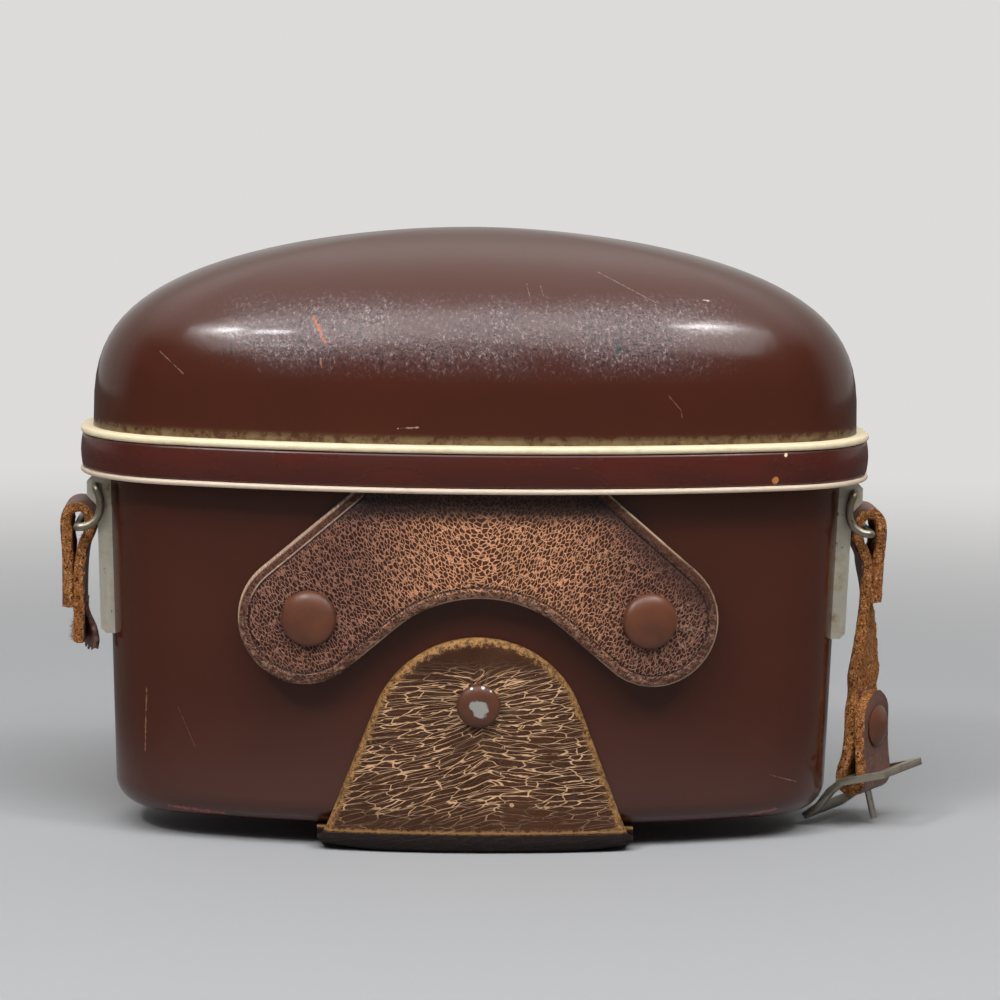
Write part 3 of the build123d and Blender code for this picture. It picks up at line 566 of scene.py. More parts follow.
def group(name, build, inputs, outputs):
    """A shader node group, built once. An input with no default is a vector, and the rest are numbers."""
    if name in GROUPS:
        return GROUPS[name]
    tree = bpy.data.node_groups.new(name, "ShaderNodeTree")
    for title, value in inputs.items():
        kind = "NodeSocketVector" if value is None else "NodeSocketFloat"
        socket = tree.interface.new_socket(name=title, in_out="INPUT", socket_type=kind)
        if value is not None:
            socket.default_value = value
    for title in outputs:
        tree.interface.new_socket(name=title, in_out="OUTPUT", socket_type="NodeSocketFloat")
    entry = tree.nodes.new("NodeGroupInput")
    leave = tree.nodes.new("NodeGroupOutput")
    for title, result in build(tree, entry.outputs).items():
        tree.links.new(result, leave.inputs[title])
    GROUPS[name] = tree
    return tree


def scratch_group():
    """A short scratch on the front: a mask near the line between two places in X and Z."""

    def build(tree, entry):
        flat = vector_maths(tree, "MULTIPLY", entry["Vector"], (1.0, 0.0, 1.0))[0]
        along = vector_maths(tree, "SUBTRACT", entry["To"], entry["From"])[0]
        offset = vector_maths(tree, "SUBTRACT", flat, entry["From"])[0]
        dot = vector_maths(tree, "DOT_PRODUCT", offset, along)["Value"]
        square = vector_maths(tree, "DOT_PRODUCT", along, along)["Value"]
        held = add_node(tree, "ShaderNodeClamp", {"Value": maths(tree, "DIVIDE", dot, square)}).outputs[0]
        foot = vector_maths(tree, "SCALE", along, scale=held)[0]
        away = vector_maths(tree, "LENGTH", vector_maths(tree, "SUBTRACT", offset, foot)[0])["Value"]
        wobble = noise_at(tree, entry["Vector"], 1100.0, 4.0, 0.8)
        reach = times(tree, span(tree, wobble, 0.36, 0.66, 0.0, 2.2), entry["Width"])
        mask = span(tree, away, reach, times(tree, reach, 0.4))
        on_front = maths(tree, "LESS_THAN", axes_of(tree, entry["Vector"])["Y"], 0.0)
        return {"Mask": times(tree, mask, on_front)}

    inputs = {"Vector": None, "From": None, "To": None, "Width": 0.0002}
    return group("Scratch", build, inputs, ["Mask"])


def crackle_group():
    """Uneven cells, with the distance to their borders as a height and the borders as a mask."""

    def build(tree, entry):
        vector = entry["Vector"]
        loose = noise_node(tree, vector, times(tree, entry["Scale"], 0.5), 2.0).outputs["Color"]
        pushed = vector_maths(tree, "SUBTRACT", loose, (0.5, 0.5, 0.5))[0]
        size = maths(tree, "DIVIDE", entry["Warp"], entry["Scale"])
        moved = vector_maths(tree, "ADD", vector, vector_maths(tree, "SCALE", pushed, scale=size)[0])[0]
        edge = add_node(
            tree, "ShaderNodeTexVoronoi", {"Vector": moved, "Scale": entry["Scale"], "Randomness": 1.0},
            feature="DISTANCE_TO_EDGE",
        ).outputs["Distance"]
        width = times(tree, noise_at(tree, vector, 260.0, 3.0), entry["Width"])
        return {"Mask": span(tree, edge, width, 0.0), "Height": edge}

    inputs = {"Vector": None, "Scale": 900.0, "Width": 0.12, "Warp": 0.6}
    return group("Crackle", build, inputs, ["Mask", "Height"])


def spoke_group():
    """Creases that run out from a fastener in X and Z, and fade with the distance."""

    def build(tree, entry):
        offset = vector_maths(tree, "SUBTRACT", entry["Vector"], entry["Centre"])[0]
        flat = vector_maths(tree, "MULTIPLY", offset, (1.0, 0.0, 1.0))[0]
        away = vector_maths(tree, "LENGTH", flat)["Value"]
        way = vector_maths(tree, "NORMALIZE", flat)[0]
        streak = noise_at(tree, way, 9.0, 3.0, 0.6)
        near = span(tree, away, entry["Reach"], times(tree, entry["Reach"], 0.45))
        return {"Mask": times(tree, span(tree, streak, 0.53, 0.6), near)}

    inputs = {"Vector": None, "Centre": None, "Reach": 0.012}
    return group("Spokes", build, inputs, ["Mask"])


def chip_group():
    """A ragged patch round a place."""

    def build(tree, entry):
        away = vector_maths(tree, "DISTANCE", entry["Vector"], entry["Centre"])["Value"]
        ragged = noise_at(tree, entry["Vector"], maths(tree, "DIVIDE", 1.4, entry["Radius"]), 3.0, 0.6)
        reach = times(tree, plus(tree, ragged, 0.5), entry["Radius"])
        return {"Mask": span(tree, away, reach, times(tree, reach, 0.82))}

    inputs = {"Vector": None, "Centre": None, "Radius": 0.001}
    return group("Chip", build, inputs, ["Mask"])


# Places of wear


# Zones in metres along the measure that a material names: where each begins, and where it is full
ZONES = {
    "ridge's low side": (0.1035, 0.1115),
    "ridge's high side": (0.1245, 0.1185),
    "ridge's front": (-0.018, -0.028),
    "ridge's ends": (0.062, 0.04),
    "warm middle": (0.034, 0.01),
    "dark, shadowed top": (0.0725, 0.0768),
    "smooth corner": (0.098, 0.106),
    "torn corner": (-0.018, -0.008),
    "rolled edge": (0.0021, 0.0016),
    "groove": (0.0003, 0.0001),
    "arch": (0.03, 0.022),
    "upper left, across": (-0.024, -0.03),
    "upper left, up": (0.054, 0.06),
    "inner line": (0.00024, 0.00008),
    "outer line": (0.0007, 0.0002),
    "cut edge": (0.0005, 0.0001),
    "open cracks": (0.0458, 0.038),
    "tab on the wall": (0.0045, 0.006),
}

# Tints of worn and dirty places, and of painted reflections, highlights and shade
TINTS = {
    "ridge's painted reflection": (0.16, 0.11, 0.12),
    "ridge's painted pit shade": (0.008, 0.004, 0.005),
    "ridge's painted glint": (0.6, 0.5, 0.48),
    "dust": (0.19, 0.14, 0.06),
    "band scuff": (0.22, 0.1, 0.08),
    "piping stain": (0.56, 0.42, 0.23),
    "pink piping": (0.55, 0.42, 0.34),
    "piping speck": (0.3, 0.18, 0.09),
    "dull crest": (0.34, 0.155, 0.1),
    "dull pit": (0.028, 0.0095, 0.0065),
    "smooth leather": (0.035, 0.014, 0.011),
    "dark, shadowed top": (0.017, 0.009, 0.009),
    "torn grain": (0.46, 0.3, 0.19),
    "rolled edge": (0.07, 0.024, 0.014),
    "worn_highlight": (0.46, 0.25, 0.16),
    "groove": (0.012, 0.006, 0.005),
    "highlit double line": (0.62, 0.42, 0.32),
    "cut edge": (0.62, 0.44, 0.28),
    "painted shade under the fold": (0.014, 0.0095, 0.009),
    "tab spot": (0.5, 0.3, 0.15),
    "suede tip": (0.8, 0.52, 0.25),
    "suede dirt": (0.1, 0.035, 0.018),
    "tarnish": (0.12, 0.09, 0.055),
    "bare metal": (0.42, 0.41, 0.38),
}

# Marks on the shell's front: two places in X and Z in millimetres, half width, colour
SHELL_MARKS = {
    "orange scuff": ((-36.6, 117.6), (-34.2, 112.2), 0.4, (0.34, 0.075, 0.02)),
    "orange scuff's tail": ((-35.2, 109.0), (-34.9, 107.0), 0.16, (0.3, 0.12, 0.07)),
    "dark teal mark": ((29.6, 113.4), (29.2, 110.4), 0.36, (0.008, 0.03, 0.03)),
    "slanting scratch": ((-70.3, 109.2), (-65.0, 104.6), 0.12, (0.17, 0.1, 0.08)),
    "dark tick": ((-54.6, 111.6), (-54.4, 108.8), 0.18, (0.01, 0.008, 0.01)),
    "second dark tick": ((-56.3, 110.4), (-56.2, 108.6), 0.12, (0.01, 0.008, 0.01)),
    "curved scratch": ((40.6, 101.6), (43.4, 98.4), 0.11, (0.17, 0.08, 0.05)),
    "curved scratch's end": ((43.4, 98.4), (43.7, 96.6), 0.09, (0.16, 0.08, 0.05)),
    "pale tick": ((48.2, 121.9), (50.6, 121.6), 0.12, (0.5, 0.42, 0.36)),
    "long fine scratch": ((25.5, 127.6), (38.0, 121.4), 0.07, (0.2, 0.13, 0.1)),
    "upright scratch": ((9.6, 125.2), (10.4, 121.4), 0.08, (0.22, 0.14, 0.11)),
    "second upright scratch": ((12.6, 124.8), (13.2, 122.6), 0.08, (0.22, 0.14, 0.11)),
    "low chips": ((-18.4, 94.3), (-13.6, 94.6), 0.14, (0.34, 0.22, 0.17)),
    "body's dotted scratch": ((-73.2, 33.6), (-73.5, 19.2), 0.14, (0.24, 0.1, 0.065)),
    "body's fine scratch": ((-66.0, 30.0), (-62.0, 21.0), 0.05, (0.18, 0.08, 0.055)),
    "low right scratch": ((66.0, 15.6), (72.4, 13.4), 0.08, (0.22, 0.12, 0.09)),
    "low left wear": ((-68.0, 7.2), (-56.0, 6.3), 0.36, (0.3, 0.05, 0.03)),
    "low right wear": ((62.0, 6.4), (68.0, 7.4), 0.3, (0.28, 0.06, 0.035)),
}

# Chips in the band: place in X and Z in millimetres, radius, colour
BAND_CHIPS = (
    ((64.7, 82.9), 0.9, (0.5, 0.17, 0.05)),
    ((67.0, 88.4), 0.45, (0.8, 0.62, 0.42)),
    ((78.5, 88.2), 0.4, (0.8, 0.62, 0.42)),
    ((-76.0, 84.0), 0.35, (0.3, 0.16, 0.12)),
)

# Chips in the enamel: place in X and Z in millimetres, radius
CAP_CHIPS = (
    ((0.3, 33.0), 2.1),
    ((-0.9, 33.7), 1.5),
    ((-1.6, 37.5), 0.4),
    ((0.9, 37.7), 0.5),
    ((2.6, 36.9), 0.3),
    ((-41.2, 55.6), 0.35),
    ((36.6, 57.9), 0.4),
)
# Chips this near the middle, in millimetres, are on the tab's cap. The caps' heights over the leather.
CAP_SPLIT = 10
TAB_CAP_OUT = 0.0014
SNAP_CAP_OUT = 0.0016

# Dust over the piping: how far above it the dust ends, where it is full, and how far below it starts
DUST_END = 0.0026
DUST_FULL = 0.0004
DUST_START = 0.0002
# How far up from the band's lower edge the lower piping's pink reaches
PINK_REACH = 0.002
# Middle of the flap's warm patch, and the groove and the painted highlight line along its rim, by their
# distance from the edge
WARM_CENTRE = 0.004
GROOVE_IN = 0.0024
INNER_LINE_IN = 0.002
# Height of the worn tan line over the tab's fold, and how far under it the leather is painted dark as shade
FOLD_LINE_Z = 0.0048
FOLD_SHADE = 0.0008
# The pale spot on the tab, in X and Z
TAB_SPOT = (0.0077, 0.0112)
TAB_SPOT_RADIUS = 0.00055
# How far creases run out from the snap and from the tab's rivet
SNAP_SPOKES = 0.0125
RIVET_SPOKES = 0.0135
# How far back the front's wear goes, and where the rear strap's starts
FRONT_LEATHER_Y = -0.03
REAR_LEATHER_Y = 0.03
YELLOWED = (0.8, 0.72, 0.58)


def zone(tree, measure, name):
    return span(tree, measure, *ZONES[name])


def off_line(tree, measure, line):
    """How far a measure is from a line, either way."""
    return absolute(tree, minus(tree, measure, line))


# Materials


def shell_material():
    """Glossy moulded shell: fine flecks on the lid's front ridge with a painted reflection, painted glints
    and pits painted dark as shade, marks, and dust over the piping.
    """
    finish = Finish("moulded shell")
    tree = finish.tree
    where = finish.coordinates()
    axes = axes_of(tree, where)
    height = axes["Z"]
    tint = colours().shell
    cloud = noise_at(tree, where, 34.0, 5.0)
    base = mix(tree, span(tree, cloud, 0.3, 0.72, 0.0, 0.6), tint, shade(tint, 0.78))

    level = times(tree, zone(tree, height, "ridge's low side"), zone(tree, height, "ridge's high side"))
    front = zone(tree, axes["Y"], "ridge's front")
    ends = zone(tree, absolute(tree, axes["X"]), "ridge's ends")
    patchy = span(tree, noise_at(tree, where, 70.0, 4.0), 0.34, 0.6, 0.45, 1.0)
    ridge = times(tree, times(tree, level, front), times(tree, ends, patchy))
    # On the ridge, the haze is a painted reflection of the light over it, the glints are painted highlights,
    # and the pits are painted shade
    fleck = noise_at(tree, stretched(tree, where, (1.0, 1.0, 0.7)), 1250.0, 3.0, 0.8)
    pits = times(tree, span(tree, fleck, 0.48, 0.4), ridge)
    painted_glints = times(tree, span(tree, fleck, 0.56, 0.66), ridge)
    base = painted(tree, base, TINTS["ridge's painted reflection"], ridge, 0.3)
    base = painted(tree, base, TINTS["ridge's painted pit shade"], pits, 0.95)
    base = painted(tree, base, TINTS["ridge's painted glint"], painted_glints, 0.34)
    rough = plus(tree, span(tree, cloud, 0.3, 0.75, 0.13, 0.24), times(tree, ridge, 0.08))

    for start, end, width, mark in SHELL_MARKS.values():
        mask = finish.effect(
            scratch_group(), Vector=where, From=(start[0] * MM, 0.0, start[1] * MM),
            To=(end[0] * MM, 0.0, end[1] * MM), Width=width * MM,
        )["Mask"]
        base = mix(tree, mask, base, mark)

    over_piping = dome_z()
    dust = span(tree, height, over_piping + DUST_END, over_piping + DUST_FULL)
    above = maths(tree, "GREATER_THAN", height, over_piping - DUST_START)
    grime = span(tree, noise_at(tree, where, 420.0, 5.0, 0.7), 0.36, 0.62)
    film = times(tree, times(tree, dust, above), plus(tree, grime, 0.25))
    base = painted(tree, base, TINTS["dust"], film, 0.62)
    rough = plus(tree, rough, times(tree, film, 0.3))

    gentle = bump(tree, noise_at(tree, where, 520.0, 2.0), 0.00004, 0.35)
    strength = plus(tree, times(tree, ridge, 0.85), 0.03)
    finish.set(
        Base_Color=base, Roughness=rough, Specular_IOR_Level=0.4, Coat_Weight=0.15, Coat_Roughness=0.1,
        Normal=bump(tree, fleck, 0.00022, strength, gentle),
    )
    return finish.material


def band_material():
    """Redder moulded band with faint scuffs along it and a few chips."""
    finish = Finish("band")
    tree = finish.tree
    where = finish.coordinates()
    tint = colours().band
    cloud = noise_at(tree, stretched(tree, where, (1.0, 1.0, 3.0)), 60.0, 5.0)
    base = mix(tree, span(tree, cloud, 0.3, 0.7), tint, shade(tint, 0.72))
    streaks = noise_at(tree, stretched(tree, where, (0.25, 0.25, 2.2)), 420.0, 4.0, 0.7)
    base = painted(tree, base, TINTS["band scuff"], span(tree, streaks, 0.66, 0.74), 0.35)
    for (x, z), radius, mark in BAND_CHIPS:
        centre = (x * MM, front_y(x * MM, BAND_INSET), z * MM)
        mask = finish.effect(chip_group(), Vector=where, Centre=centre, Radius=radius * MM)["Mask"]
        base = mix(tree, mask, base, mark)
    finish.set(
        Base_Color=base, Roughness=span(tree, cloud, 0.3, 0.7, 0.2, 0.34), Specular_IOR_Level=0.4,
        Coat_Weight=0.1, Normal=bump(tree, noise_at(tree, where, 300.0, 3.0), 0.00006, 0.4),
    )
    return finish.material


def piping_material():
    """Stained cream piping, pinker in the line under the band."""
    finish = Finish("piping")
    tree = finish.tree
    where = finish.coordinates()
    cloud = noise_at(tree, where, 240.0, 5.0, 0.65)
    fine = noise_at(tree, where, 1100.0, 4.0, 0.7)
    base = mix(tree, span(tree, cloud, 0.48, 0.72, 0.0, 0.45), colours().piping, TINTS["piping stain"])
    pink = span(tree, axes_of(tree, where)["Z"], band_z() + PINK_REACH, band_z())
    base = painted(tree, base, TINTS["pink piping"], pink, 0.75)
    base = mix(tree, span(tree, fine, 0.68, 0.76, 0.0, 0.7), base, TINTS["piping speck"])
    finish.set(Base_Color=base, Roughness=0.45, Normal=bump(tree, cloud, 0.00018, 0.5))
    return finish.material


def flap_material():
    """Dark leather with small stretched pits between tan ridges, a painted shadow under the band, and a
    polished rolled edge with worn spots and painted highlights.
    """
    finish = Finish("flap leather")
    tree = finish.tree
    where = finish.coordinates()
    axes = axes_of(tree, where)
    metal = metal_sizes()
    flow = finish.attribute("flow")["Vector"]
    rim = finish.attribute("rim")["Fac"]
    cells = finish.effect(crackle_group(), Vector=flow, Scale=1450.0, Width=0.2, Warp=0.9)["Height"]
    fine = finish.effect(crackle_group(), Vector=flow, Scale=3100.0, Width=0.2, Warp=0.8)["Height"]
    cloud = noise_at(tree, where, 60.0, 5.0)
    grit = noise_at(tree, where, 1300.0, 3.0, 0.7)
    pits = span(tree, plus(tree, cells, times(tree, grit, 0.1)), 0.08, 0.19)
    pits = larger(tree, pits, times(tree, span(tree, fine, 0.06, 0.18), 0.45))

    middle = zone(tree, absolute(tree, plus(tree, axes["X"], -WARM_CENTRE)), "warm middle")
    warm = times(tree, middle, span(tree, cloud, 0.28, 0.6, 0.45, 1.0))
    crest_tint = mix(tree, warm, TINTS["dull crest"], colours().leather_crack)
    pit_tint = mix(tree, warm, TINTS["dull pit"], colours().leather)
    depth = times(tree, pits, span(tree, cloud, 0.2, 0.5, 0.82, 1.0))
    base = mix(tree, depth, crest_tint, pit_tint)
    smooth_right = zone(tree, plus(tree, axes["X"], axes["Z"]), "smooth corner")
    base = painted(tree, base, TINTS["smooth leather"], smooth_right, 0.7)
    # The top under the band: a darker finish with the band's shadow painted over it
    base = painted(tree, base, TINTS["dark, shadowed top"], zone(tree, axes["Z"], "dark, shadowed top"), 0.9)

    centre = (metal.snap_x, 0.0, seam_z() - metal.snap_drop)
    spokes = finish.effect(spoke_group(), Vector=where, Centre=centre, Reach=SNAP_SPOKES)["Mask"]
    low_half = zone(tree, minus(tree, axes["X"], axes["Z"]), "torn corner")
    torn = times(tree, low_half, span(tree, grit, 0.42, 0.6))
    base = painted(tree, base, TINTS["torn grain"], times(tree, spokes, torn), 0.75)

    rolled = zone(tree, rim, "rolled edge")
    # Worn, lighter spots on the rolled edge, with painted highlights along its lower edges and the arch
    worn = span(tree, noise_at(tree, stretched(tree, where, (0.6, 0.6, 1.0)), 1100.0, 5.0, 0.8), 0.5, 0.6)
    low_edge = span(tree, axes["Z"], 0.058, 0.05, 0.12, 0.75)
    low_edge = larger(tree, low_edge, zone(tree, absolute(tree, axes["X"]), "arch"))
    worn_highlight = times(tree, rolled, worn, low_edge)
    base = painted(tree, base, TINTS["rolled edge"], rolled, 0.7)
    base = painted(tree, base, TINTS["worn_highlight"], worn_highlight, 0.85)
    base = painted(tree, base, TINTS["groove"], zone(tree, off_line(tree, rim, GROOVE_IN), "groove"), 0.7)

    # Painted highlights: a double line along the upper left edge, at the crease and at the outer edge
    upper_left = times(
        tree, zone(tree, axes["X"], "upper left, across"), zone(tree, axes["Z"], "upper left, up")
    )
    inner_line = zone(tree, off_line(tree, rim, INNER_LINE_IN), "inner line")
    lines = times(tree, upper_left, larger(tree, inner_line, zone(tree, rim, "outer line")))
    base = painted(tree, base, TINTS["highlit double line"], lines, 0.7)
    cut = times(tree, zone(tree, rim, "cut edge"), span(tree, cloud, 0.35, 0.55))
    base = painted(tree, base, TINTS["cut edge"], cut, 0.9)

    bumps = minus(tree, minus(tree, 1.0, pits), smooth_right)
    bumps = plus(tree, bumps, times(tree, worn_highlight, 0.5))
    rough = minus(tree, span(tree, cloud, 0.3, 0.7, 0.34, 0.5), times(tree, rolled, 0.12))
    finish.set(
        Base_Color=base, Roughness=rough, Specular_IOR_Level=0.24, Coat_Weight=0.03, Coat_Roughness=0.25,
        Normal=bump(tree, bumps, 0.00028, 0.9),
    )
    return finish.material


def crack_lines(tree, flow, spacing, drift_scale, swing, width):
    """Wavering lines that run along the grain and join where they meet."""
    drift = noise_at(tree, flow, drift_scale, 4.0, 0.6)
    along = axes_of(tree, flow)["Z"]
    level = plus(tree, maths(tree, "DIVIDE", along, spacing), times(tree, drift, swing))
    away = off_line(tree, maths(tree, "FRACT", level), 0.5)
    reach = times(tree, span(tree, noise_at(tree, flow, 520.0, 3.0), 0.34, 0.62, 0.3, 1.0), width)
    return span(tree, away, reach, times(tree, reach, 0.35))


def tab_material():
    """Dark leather with long tan cracks drawn towards its rivet, a raw tan edge, a tan fold line and painted
    shade under the fold.
    """
    finish = Finish("tab leather")
    tree = finish.tree
    where = finish.coordinates()
    axes = axes_of(tree, where)
    height = axes["Z"]
    flow = finish.attribute("flow")["Vector"]
    rim = finish.attribute("rim")["Fac"]
    cloud = noise_at(tree, where, 70.0, 5.0)
    tint = colours().tab
    crack_tint = colours().tab_crack
    edge_tint = colours().raw_edge
    base = mix(tree, span(tree, cloud, 0.3, 0.7), tint, shade(tint, 1.5))

    bold = crack_lines(tree, flow, 0.0017, 210.0, 3.2, 0.1)
    network = finish.effect(crackle_group(), Vector=flow, Scale=640.0, Width=0.115, Warp=1.2)["Mask"]
    small = finish.effect(crackle_group(), Vector=flow, Scale=1350.0, Width=0.15, Warp=1.0)["Mask"]
    behind = maths(tree, "GREATER_THAN", axes["Y"], REAR_LEATHER_Y)
    open_zone = larger(tree, zone(tree, height, "open cracks"), times(tree, behind, 0.55))
    low_zone = span(tree, height, 0.006, 0.015, 0.5, 1.0)
    patchy = span(tree, noise_at(tree, where, 120.0, 3.0), 0.3, 0.5, 0.55, 1.0)
    strong = times(tree, open_zone, low_zone, patchy)
    cracks = larger(tree, times(tree, bold, 0.85), network)
    cracks = larger(tree, cracks, times(tree, small, 0.42))
    cracks = times(tree, cracks, strong)
    centre = (0.0, 0.0, metal_sizes().tab_rivet_z)
    spokes = finish.effect(spoke_group(), Vector=where, Centre=centre, Reach=RIVET_SPOKES)["Mask"]
    cracks = larger(tree, cracks, times(tree, spokes, 0.42))
    base = mix(tree, span(tree, cracks, 0.0, 0.5, 0.0, 0.4), base, shade(crack_tint, 0.22))
    base = mix(tree, span(tree, cracks, 0.35, 0.8), base, crack_tint)

    edge_noise = noise_at(tree, where, 950.0, 5.0, 0.75)
    reach = span(tree, edge_noise, 0.3, 0.7, 0.0009, 0.0027)
    raw = span(tree, rim, reach, times(tree, reach, 0.4))
    raw_tint = mix(tree, span(tree, edge_noise, 0.4, 0.6), shade(edge_tint, 0.3), edge_tint)
    base = painted(tree, base, raw_tint, raw, zone(tree, height, "tab on the wall"))
    fold_reach = span(tree, edge_noise, 0.35, 0.65, 0.0002, 0.0011)
    fold = span(tree, off_line(tree, height, FOLD_LINE_Z), fold_reach, 0.0)
    front = maths(tree, "LESS_THAN", axes["Y"], FRONT_LEATHER_Y)
    base = painted(tree, base, edge_tint, times(tree, fold, front), 0.8)
    # Painted shade on the leather that curls under the base, below the fold line
    under = times(tree, span(tree, height, FOLD_LINE_Z, FOLD_LINE_Z - FOLD_SHADE), front)
    base = painted(tree, base, TINTS["painted shade under the fold"], under, 0.95)
    x, z = TAB_SPOT
    centre = (x, front_y(x, tub_inset(z) - leather_sizes().tab), z)
    spot = finish.effect(chip_group(), Vector=where, Centre=centre, Radius=TAB_SPOT_RADIUS)["Mask"]
    base = mix(tree, spot, base, TINTS["tab spot"])

    finish.set(
        Base_Color=base,
        Roughness=plus(tree, span(tree, cloud, 0.3, 0.7, 0.42, 0.58), times(tree, raw, 0.3)),
        Specular_IOR_Level=0.14,
        Normal=bump(tree, minus(tree, edge_noise, times(tree, cracks, 1.5)), 0.00018, 0.7),
    )
    return finish.material


def suede_material():
    """Fuzzy orange-brown flesh side, with painted shade in its hollows, and darker where it is dirty."""
    finish = Finish("suede")
    tree = finish.tree
    where = finish.coordinates()
    tint = colours().suede
    nap = noise_at(tree, where, 1250.0, 4.0, 0.8, 1.4)
    cloud = noise_at(tree, where, 170.0, 4.0)
    # Painted shade where the nap is low, in its hollows
    base = mix(tree, span(tree, nap, 0.39, 0.51), shade(tint, 0.1), tint)
    base = mix(tree, span(tree, nap, 0.54, 0.64), base, TINTS["suede tip"])
    base = mix(tree, span(tree, cloud, 0.56, 0.74, 0.0, 0.5), base, TINTS["suede dirt"])
    finish.set(Base_Color=base, Roughness=0.95, Specular_IOR_Level=0.1, Normal=bump(tree, nap, 0.0009, 1.0))
    return finish.material


def grain_material():
    """Smooth mauve-brown grain side of the strap, creased and rubbed."""
    finish = Finish("strap grain")
    tree = finish.tree
    where = finish.coordinates()
    tint = colours().grain
    cracks = finish.effect(crackle_group(), Vector=where, Scale=620.0, Width=0.07, Warp=0.9)["Mask"]
    cloud = noise_at(tree, where, 120.0, 5.0)
    base = mix(tree, span(tree, cloud, 0.3, 0.7), tint, shade(tint, 1.8))
    base = painted(tree, base, colours().suede, cracks, 0.5)
    finish.set(Base_Color=base, Roughness=0.5, Normal=bump(tree, cloud, 0.0002, 0.5))
    return finish.material


def metal_material(name, tint, metallic):
    """Dull metal with a yellowish tarnish and fine scratches."""
    finish = Finish(name)
    tree = finish.tree
    where = finish.coordinates()
    cloud = noise_at(tree, where, 190.0, 5.0, 0.6)
    fine = noise_at(tree, stretched(tree, where, (1.0, 3.0, 0.35)), 1500.0, 3.0, 0.7)
    yellow = [channel * share for channel, share in zip(tint, YELLOWED)]
    base = mix(tree, span(tree, cloud, 0.48, 0.7), tint, yellow)
    base = mix(tree, span(tree, cloud, 0.62, 0.74, 0.0, 0.8), base, TINTS["tarnish"])
    rough = plus(tree, span(tree, cloud, 0.3, 0.7, 0.3, 0.5), span(tree, fine, 0.4, 0.7, -0.05, 0.1))
    finish.set(Base_Color=base, Metallic=metallic, Roughness=rough, Normal=bump(tree, fine, 0.00004, 0.5))
    return finish.material


def nickel_material():
    return metal_material("nickel", colours().nickel, 0.65)


def steel_material():
    return metal_material("worn steel", colours().steel, 0.85)


def cap_material():
    """Brown enamel on domed caps, chipped through to bare metal here and there."""
    finish = Finish("painted cap")
    tree = finish.tree
    where = finish.coordinates()
    leather = leather_sizes()
    tint = colours().cap
    cloud = noise_at(tree, where, 160.0, 5.0)
    bare = None
    for (x, z), radius in CAP_CHIPS:
        out = leather.tab + TAB_CAP_OUT if abs(x) < CAP_SPLIT else leather.flap + SNAP_CAP_OUT
        centre = (x * MM, front_y(x * MM, tub_inset(z * MM) - out), z * MM)
        mask = finish.effect(chip_group(), Vector=where, Centre=centre, Radius=radius * MM)["Mask"]
        bare = mask if bare is None else larger(tree, bare, mask)
    base = mix(tree, span(tree, cloud, 0.3, 0.7), tint, shade(tint, 0.68))
    finish.set(
        Base_Color=mix(tree, bare, base, TINTS["bare metal"]),
        Roughness=span(tree, cloud, 0.3, 0.7, 0.32, 0.46),
        Metallic=times(tree, bare, 0.6),
        Specular_IOR_Level=0.4,
        Normal=bump(tree, minus(tree, noise_at(tree, where, 500.0, 3.0), bare), 0.00012, 0.4),
    )
    return finish.material


def felt_material():
    """Short wine-red felt."""
    finish = Finish("felt")
    tree = finish.tree
    fibre = noise_at(tree, finish.coordinates(), 1500.0, 5.0, 0.75)
    tint = colours().felt
    finish.set(
        Base_Color=mix(tree, fibre, shade(tint, 0.6), shade(tint, 1.4)), Roughness=0.95, Sheen_Weight=0.4,
        Normal=bump(tree, fibre, 0.0003, 0.7),
    )
    return finish.material


MATERIALS = {}
BUILDERS = {
    "shell": shell_material,
    "band": band_material,
    "piping": piping_material,
    "nickel": nickel_material,
    "steel": steel_material,
    "cap": cap_material,
    "felt": felt_material,
    "flap": flap_material,
    "tab": tab_material,
    "suede": suede_material,
    "grain": grain_material,
}


def material(name):
    """A material, built when it is first asked for."""
    if name not in MATERIALS:
        MATERIALS[name] = BUILDERS[name]()
    return MATERIALS[name]


# Shell pieces


def shell_rings(first_rings, last_rings):
    """A closed wall through its first rings and back through its last ones."""
    bm = bmesh.new()
    grow_rings(bm, first_rings + last_rings[::-1], close_start=True, close_end=True)
    tidy(bm)
    return bm


# The break of the tub's rim, and how near the dome's last ring comes to its apex, as a scale
RIM_EDGE = 0.0007
APEX_SCALE = 0.012
# The insets of the band's face and of the piping's face, and the radii of their edges
BAND_INSET = 0.0003
BAND_EDGE = 0.0008
UPPER_TRIM_EDGE = 0.0007
LOWER_TRIM_EDGE = 0.0006


class CAMERACASE_OT_tub(bpy.types.Operator):
    """The moulded tub: tapered walls, a rounded foot and a rim for the lid"""

    bl_idname = "camera_case.tub"
    bl_label = "Tub"

    def execute(self, context):
        s = shell_sizes()

        def side(depth, floor_z, radius, top_z, steps=9, levels=8):
            """Rings round a foot and up a wall."""
            rings = []
            for i in range(steps + 1):
                angle = pi / 2 * i / steps
                z = floor_z + radius * (1 - cos(angle))
                inset = tub_inset(z) + depth + radius * (1 - sin(angle))
                rings.append(plan_ring(inset, z))
            for i in range(1, levels + 1):
                z = floor_z + radius + (top_z - floor_z - radius) * i / levels
                rings.append(plan_ring(tub_inset(z) + depth, z))
            return rings

        rim_inset = tub_inset(rim_z())
        outer = side(0.0, s.base_z, s.foot_radius, rim_z() - RIM_EDGE)
        outer.append(plan_ring(rim_inset + RIM_EDGE * 0.3, rim_z() - RIM_EDGE * 0.3))
        outer.append(plan_ring(rim_inset + RIM_EDGE, rim_z()))
        inner = side(s.wall, s.base_z + s.wall, s.foot_radius - s.wall, rim_z() - RIM_EDGE)
        inner.append(plan_ring(rim_inset + s.wall - RIM_EDGE, rim_z()))
        piece("tub", shell_rings(outer, inner), "tub", [material("shell")], ["tub_shell"])
        return {"FINISHED"}


